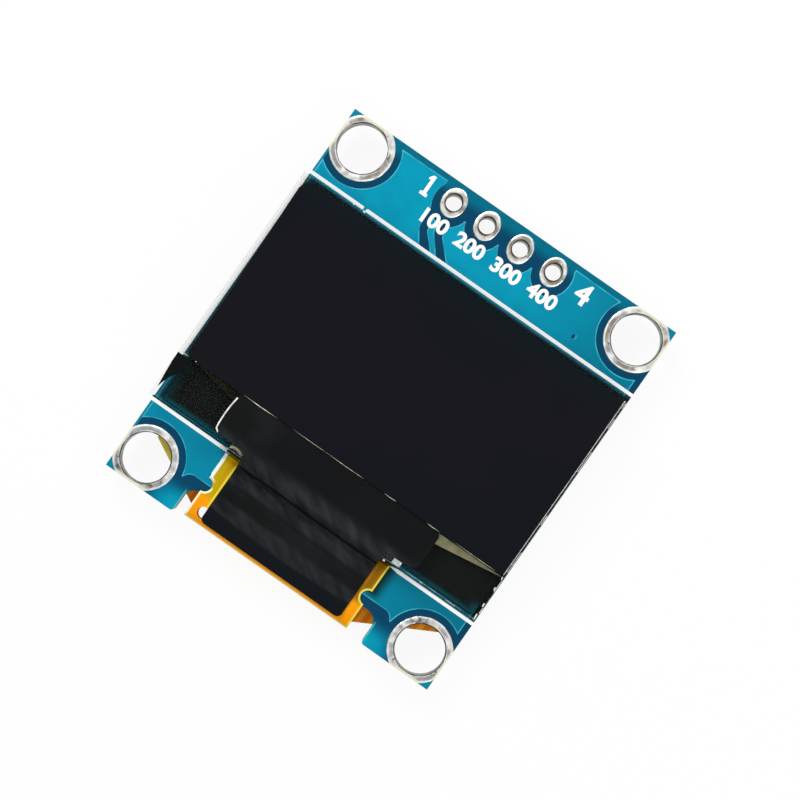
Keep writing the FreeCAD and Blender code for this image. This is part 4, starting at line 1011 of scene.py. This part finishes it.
def studio():
    room = {"floor": -1.0, "half": 3000.0, "horizon": 0.16, "zenith": 0.9}
    pickNone()
    bpy.ops.mesh.primitive_plane_add(size=2 * room["half"] * mm, location=(0, 0, room["floor"] * mm))
    floor = bpy.context.object
    floor.name = "floor"
    look = Look("pale_floor", Roughness=0.6, Base_Color=paint(0.97, 0.97, 0.97))
    seen, shiny, through = (look.node("ShaderNodeLightPath", out="Is %s Ray" % kind)
                            for kind in ("Camera", "Glossy", "Transmission"))
    glow = look.node("ShaderNodeEmission", {}, {"Color": (1, 1, 1, 1), "Strength": 1.0})
    both = look.node("ShaderNodeMixShader", {}, {0: (seen | shiny | through) * 0.9,
                                                 1: Wire(look, look.surface.outputs[0]), 2: glow})
    look.links.new(both.socket, look.nodes["Material Output"].inputs["Surface"])
    dress(floor, look)

    world = bpy.data.worlds.new("studio")
    bpy.context.scene.world = world
    world.use_nodes = True
    tree = world.node_tree
    sky = tree.nodes["Background"]
    toward, height, shade = (tree.nodes.new(kind) for kind in (
        "ShaderNodeTexCoord", "ShaderNodeSeparateXYZ", "ShaderNodeMapRange"))
    tree.links.new(toward.outputs["Generated"], height.inputs[0])
    tree.links.new(height.outputs["Z"], shade.inputs["Value"])
    shade.interpolation_type = "SMOOTHSTEP"
    for socket, value in (("From Min", 0.3), ("From Max", 0.95), ("To Min", room["horizon"]),
                          ("To Max", room["zenith"])):
        shade.inputs[socket].default_value = value
    tree.links.new(shade.outputs[0], sky.inputs["Strength"])
    sky.inputs["Color"].default_value = (1, 1, 1, 1)

    def lamp(name, at, size, power):
        pickNone()
        bpy.ops.object.light_add(type="AREA", location=[c * mm for c in at])
        made = bpy.context.object
        made.name = name
        made.data.shape, made.data.size = "DISK", size * mm
        made.data.energy = power
        made.rotation_euler = (-Vector(at)).to_track_quat("-Z", "Y").to_euler()

    lamp("key", (-170, 130, 190), 150, 0.36)
    lamp("fill", (190, -60, 160), 160, 0.14)
    lamp("back", (20, 220, 120), 140, 0.09)


def camera():
    shot = {"at": (2.606, -1.003, 144.024), "lens": 102.43,
            "right": (0.81937, 0.57322, -0.00695), "back": (0.01465, -0.00881, 0.99985)}
    bpy.ops.object.camera_add(location=[c * mm for c in shot["at"]])
    made = bpy.context.object
    made.name = "camera"
    made.data.lens, made.data.sensor_width = shot["lens"], 36.0
    made.data.clip_start, made.data.clip_end = 0.01, 10
    back = Vector(shot["back"]).normalized()
    right = Vector(shot["right"])
    right = (right - back * right.dot(back)).normalized()
    up = back.cross(right)
    turn = made.rotation_euler.to_matrix()
    for k, axis in enumerate((right, up, back)):
        turn.col[k] = axis
    made.rotation_euler = turn.to_euler()
    bpy.context.scene.camera = made


studio()
camera()
bpy.context.scene.view_settings.view_transform = "Standard"
print("studio")
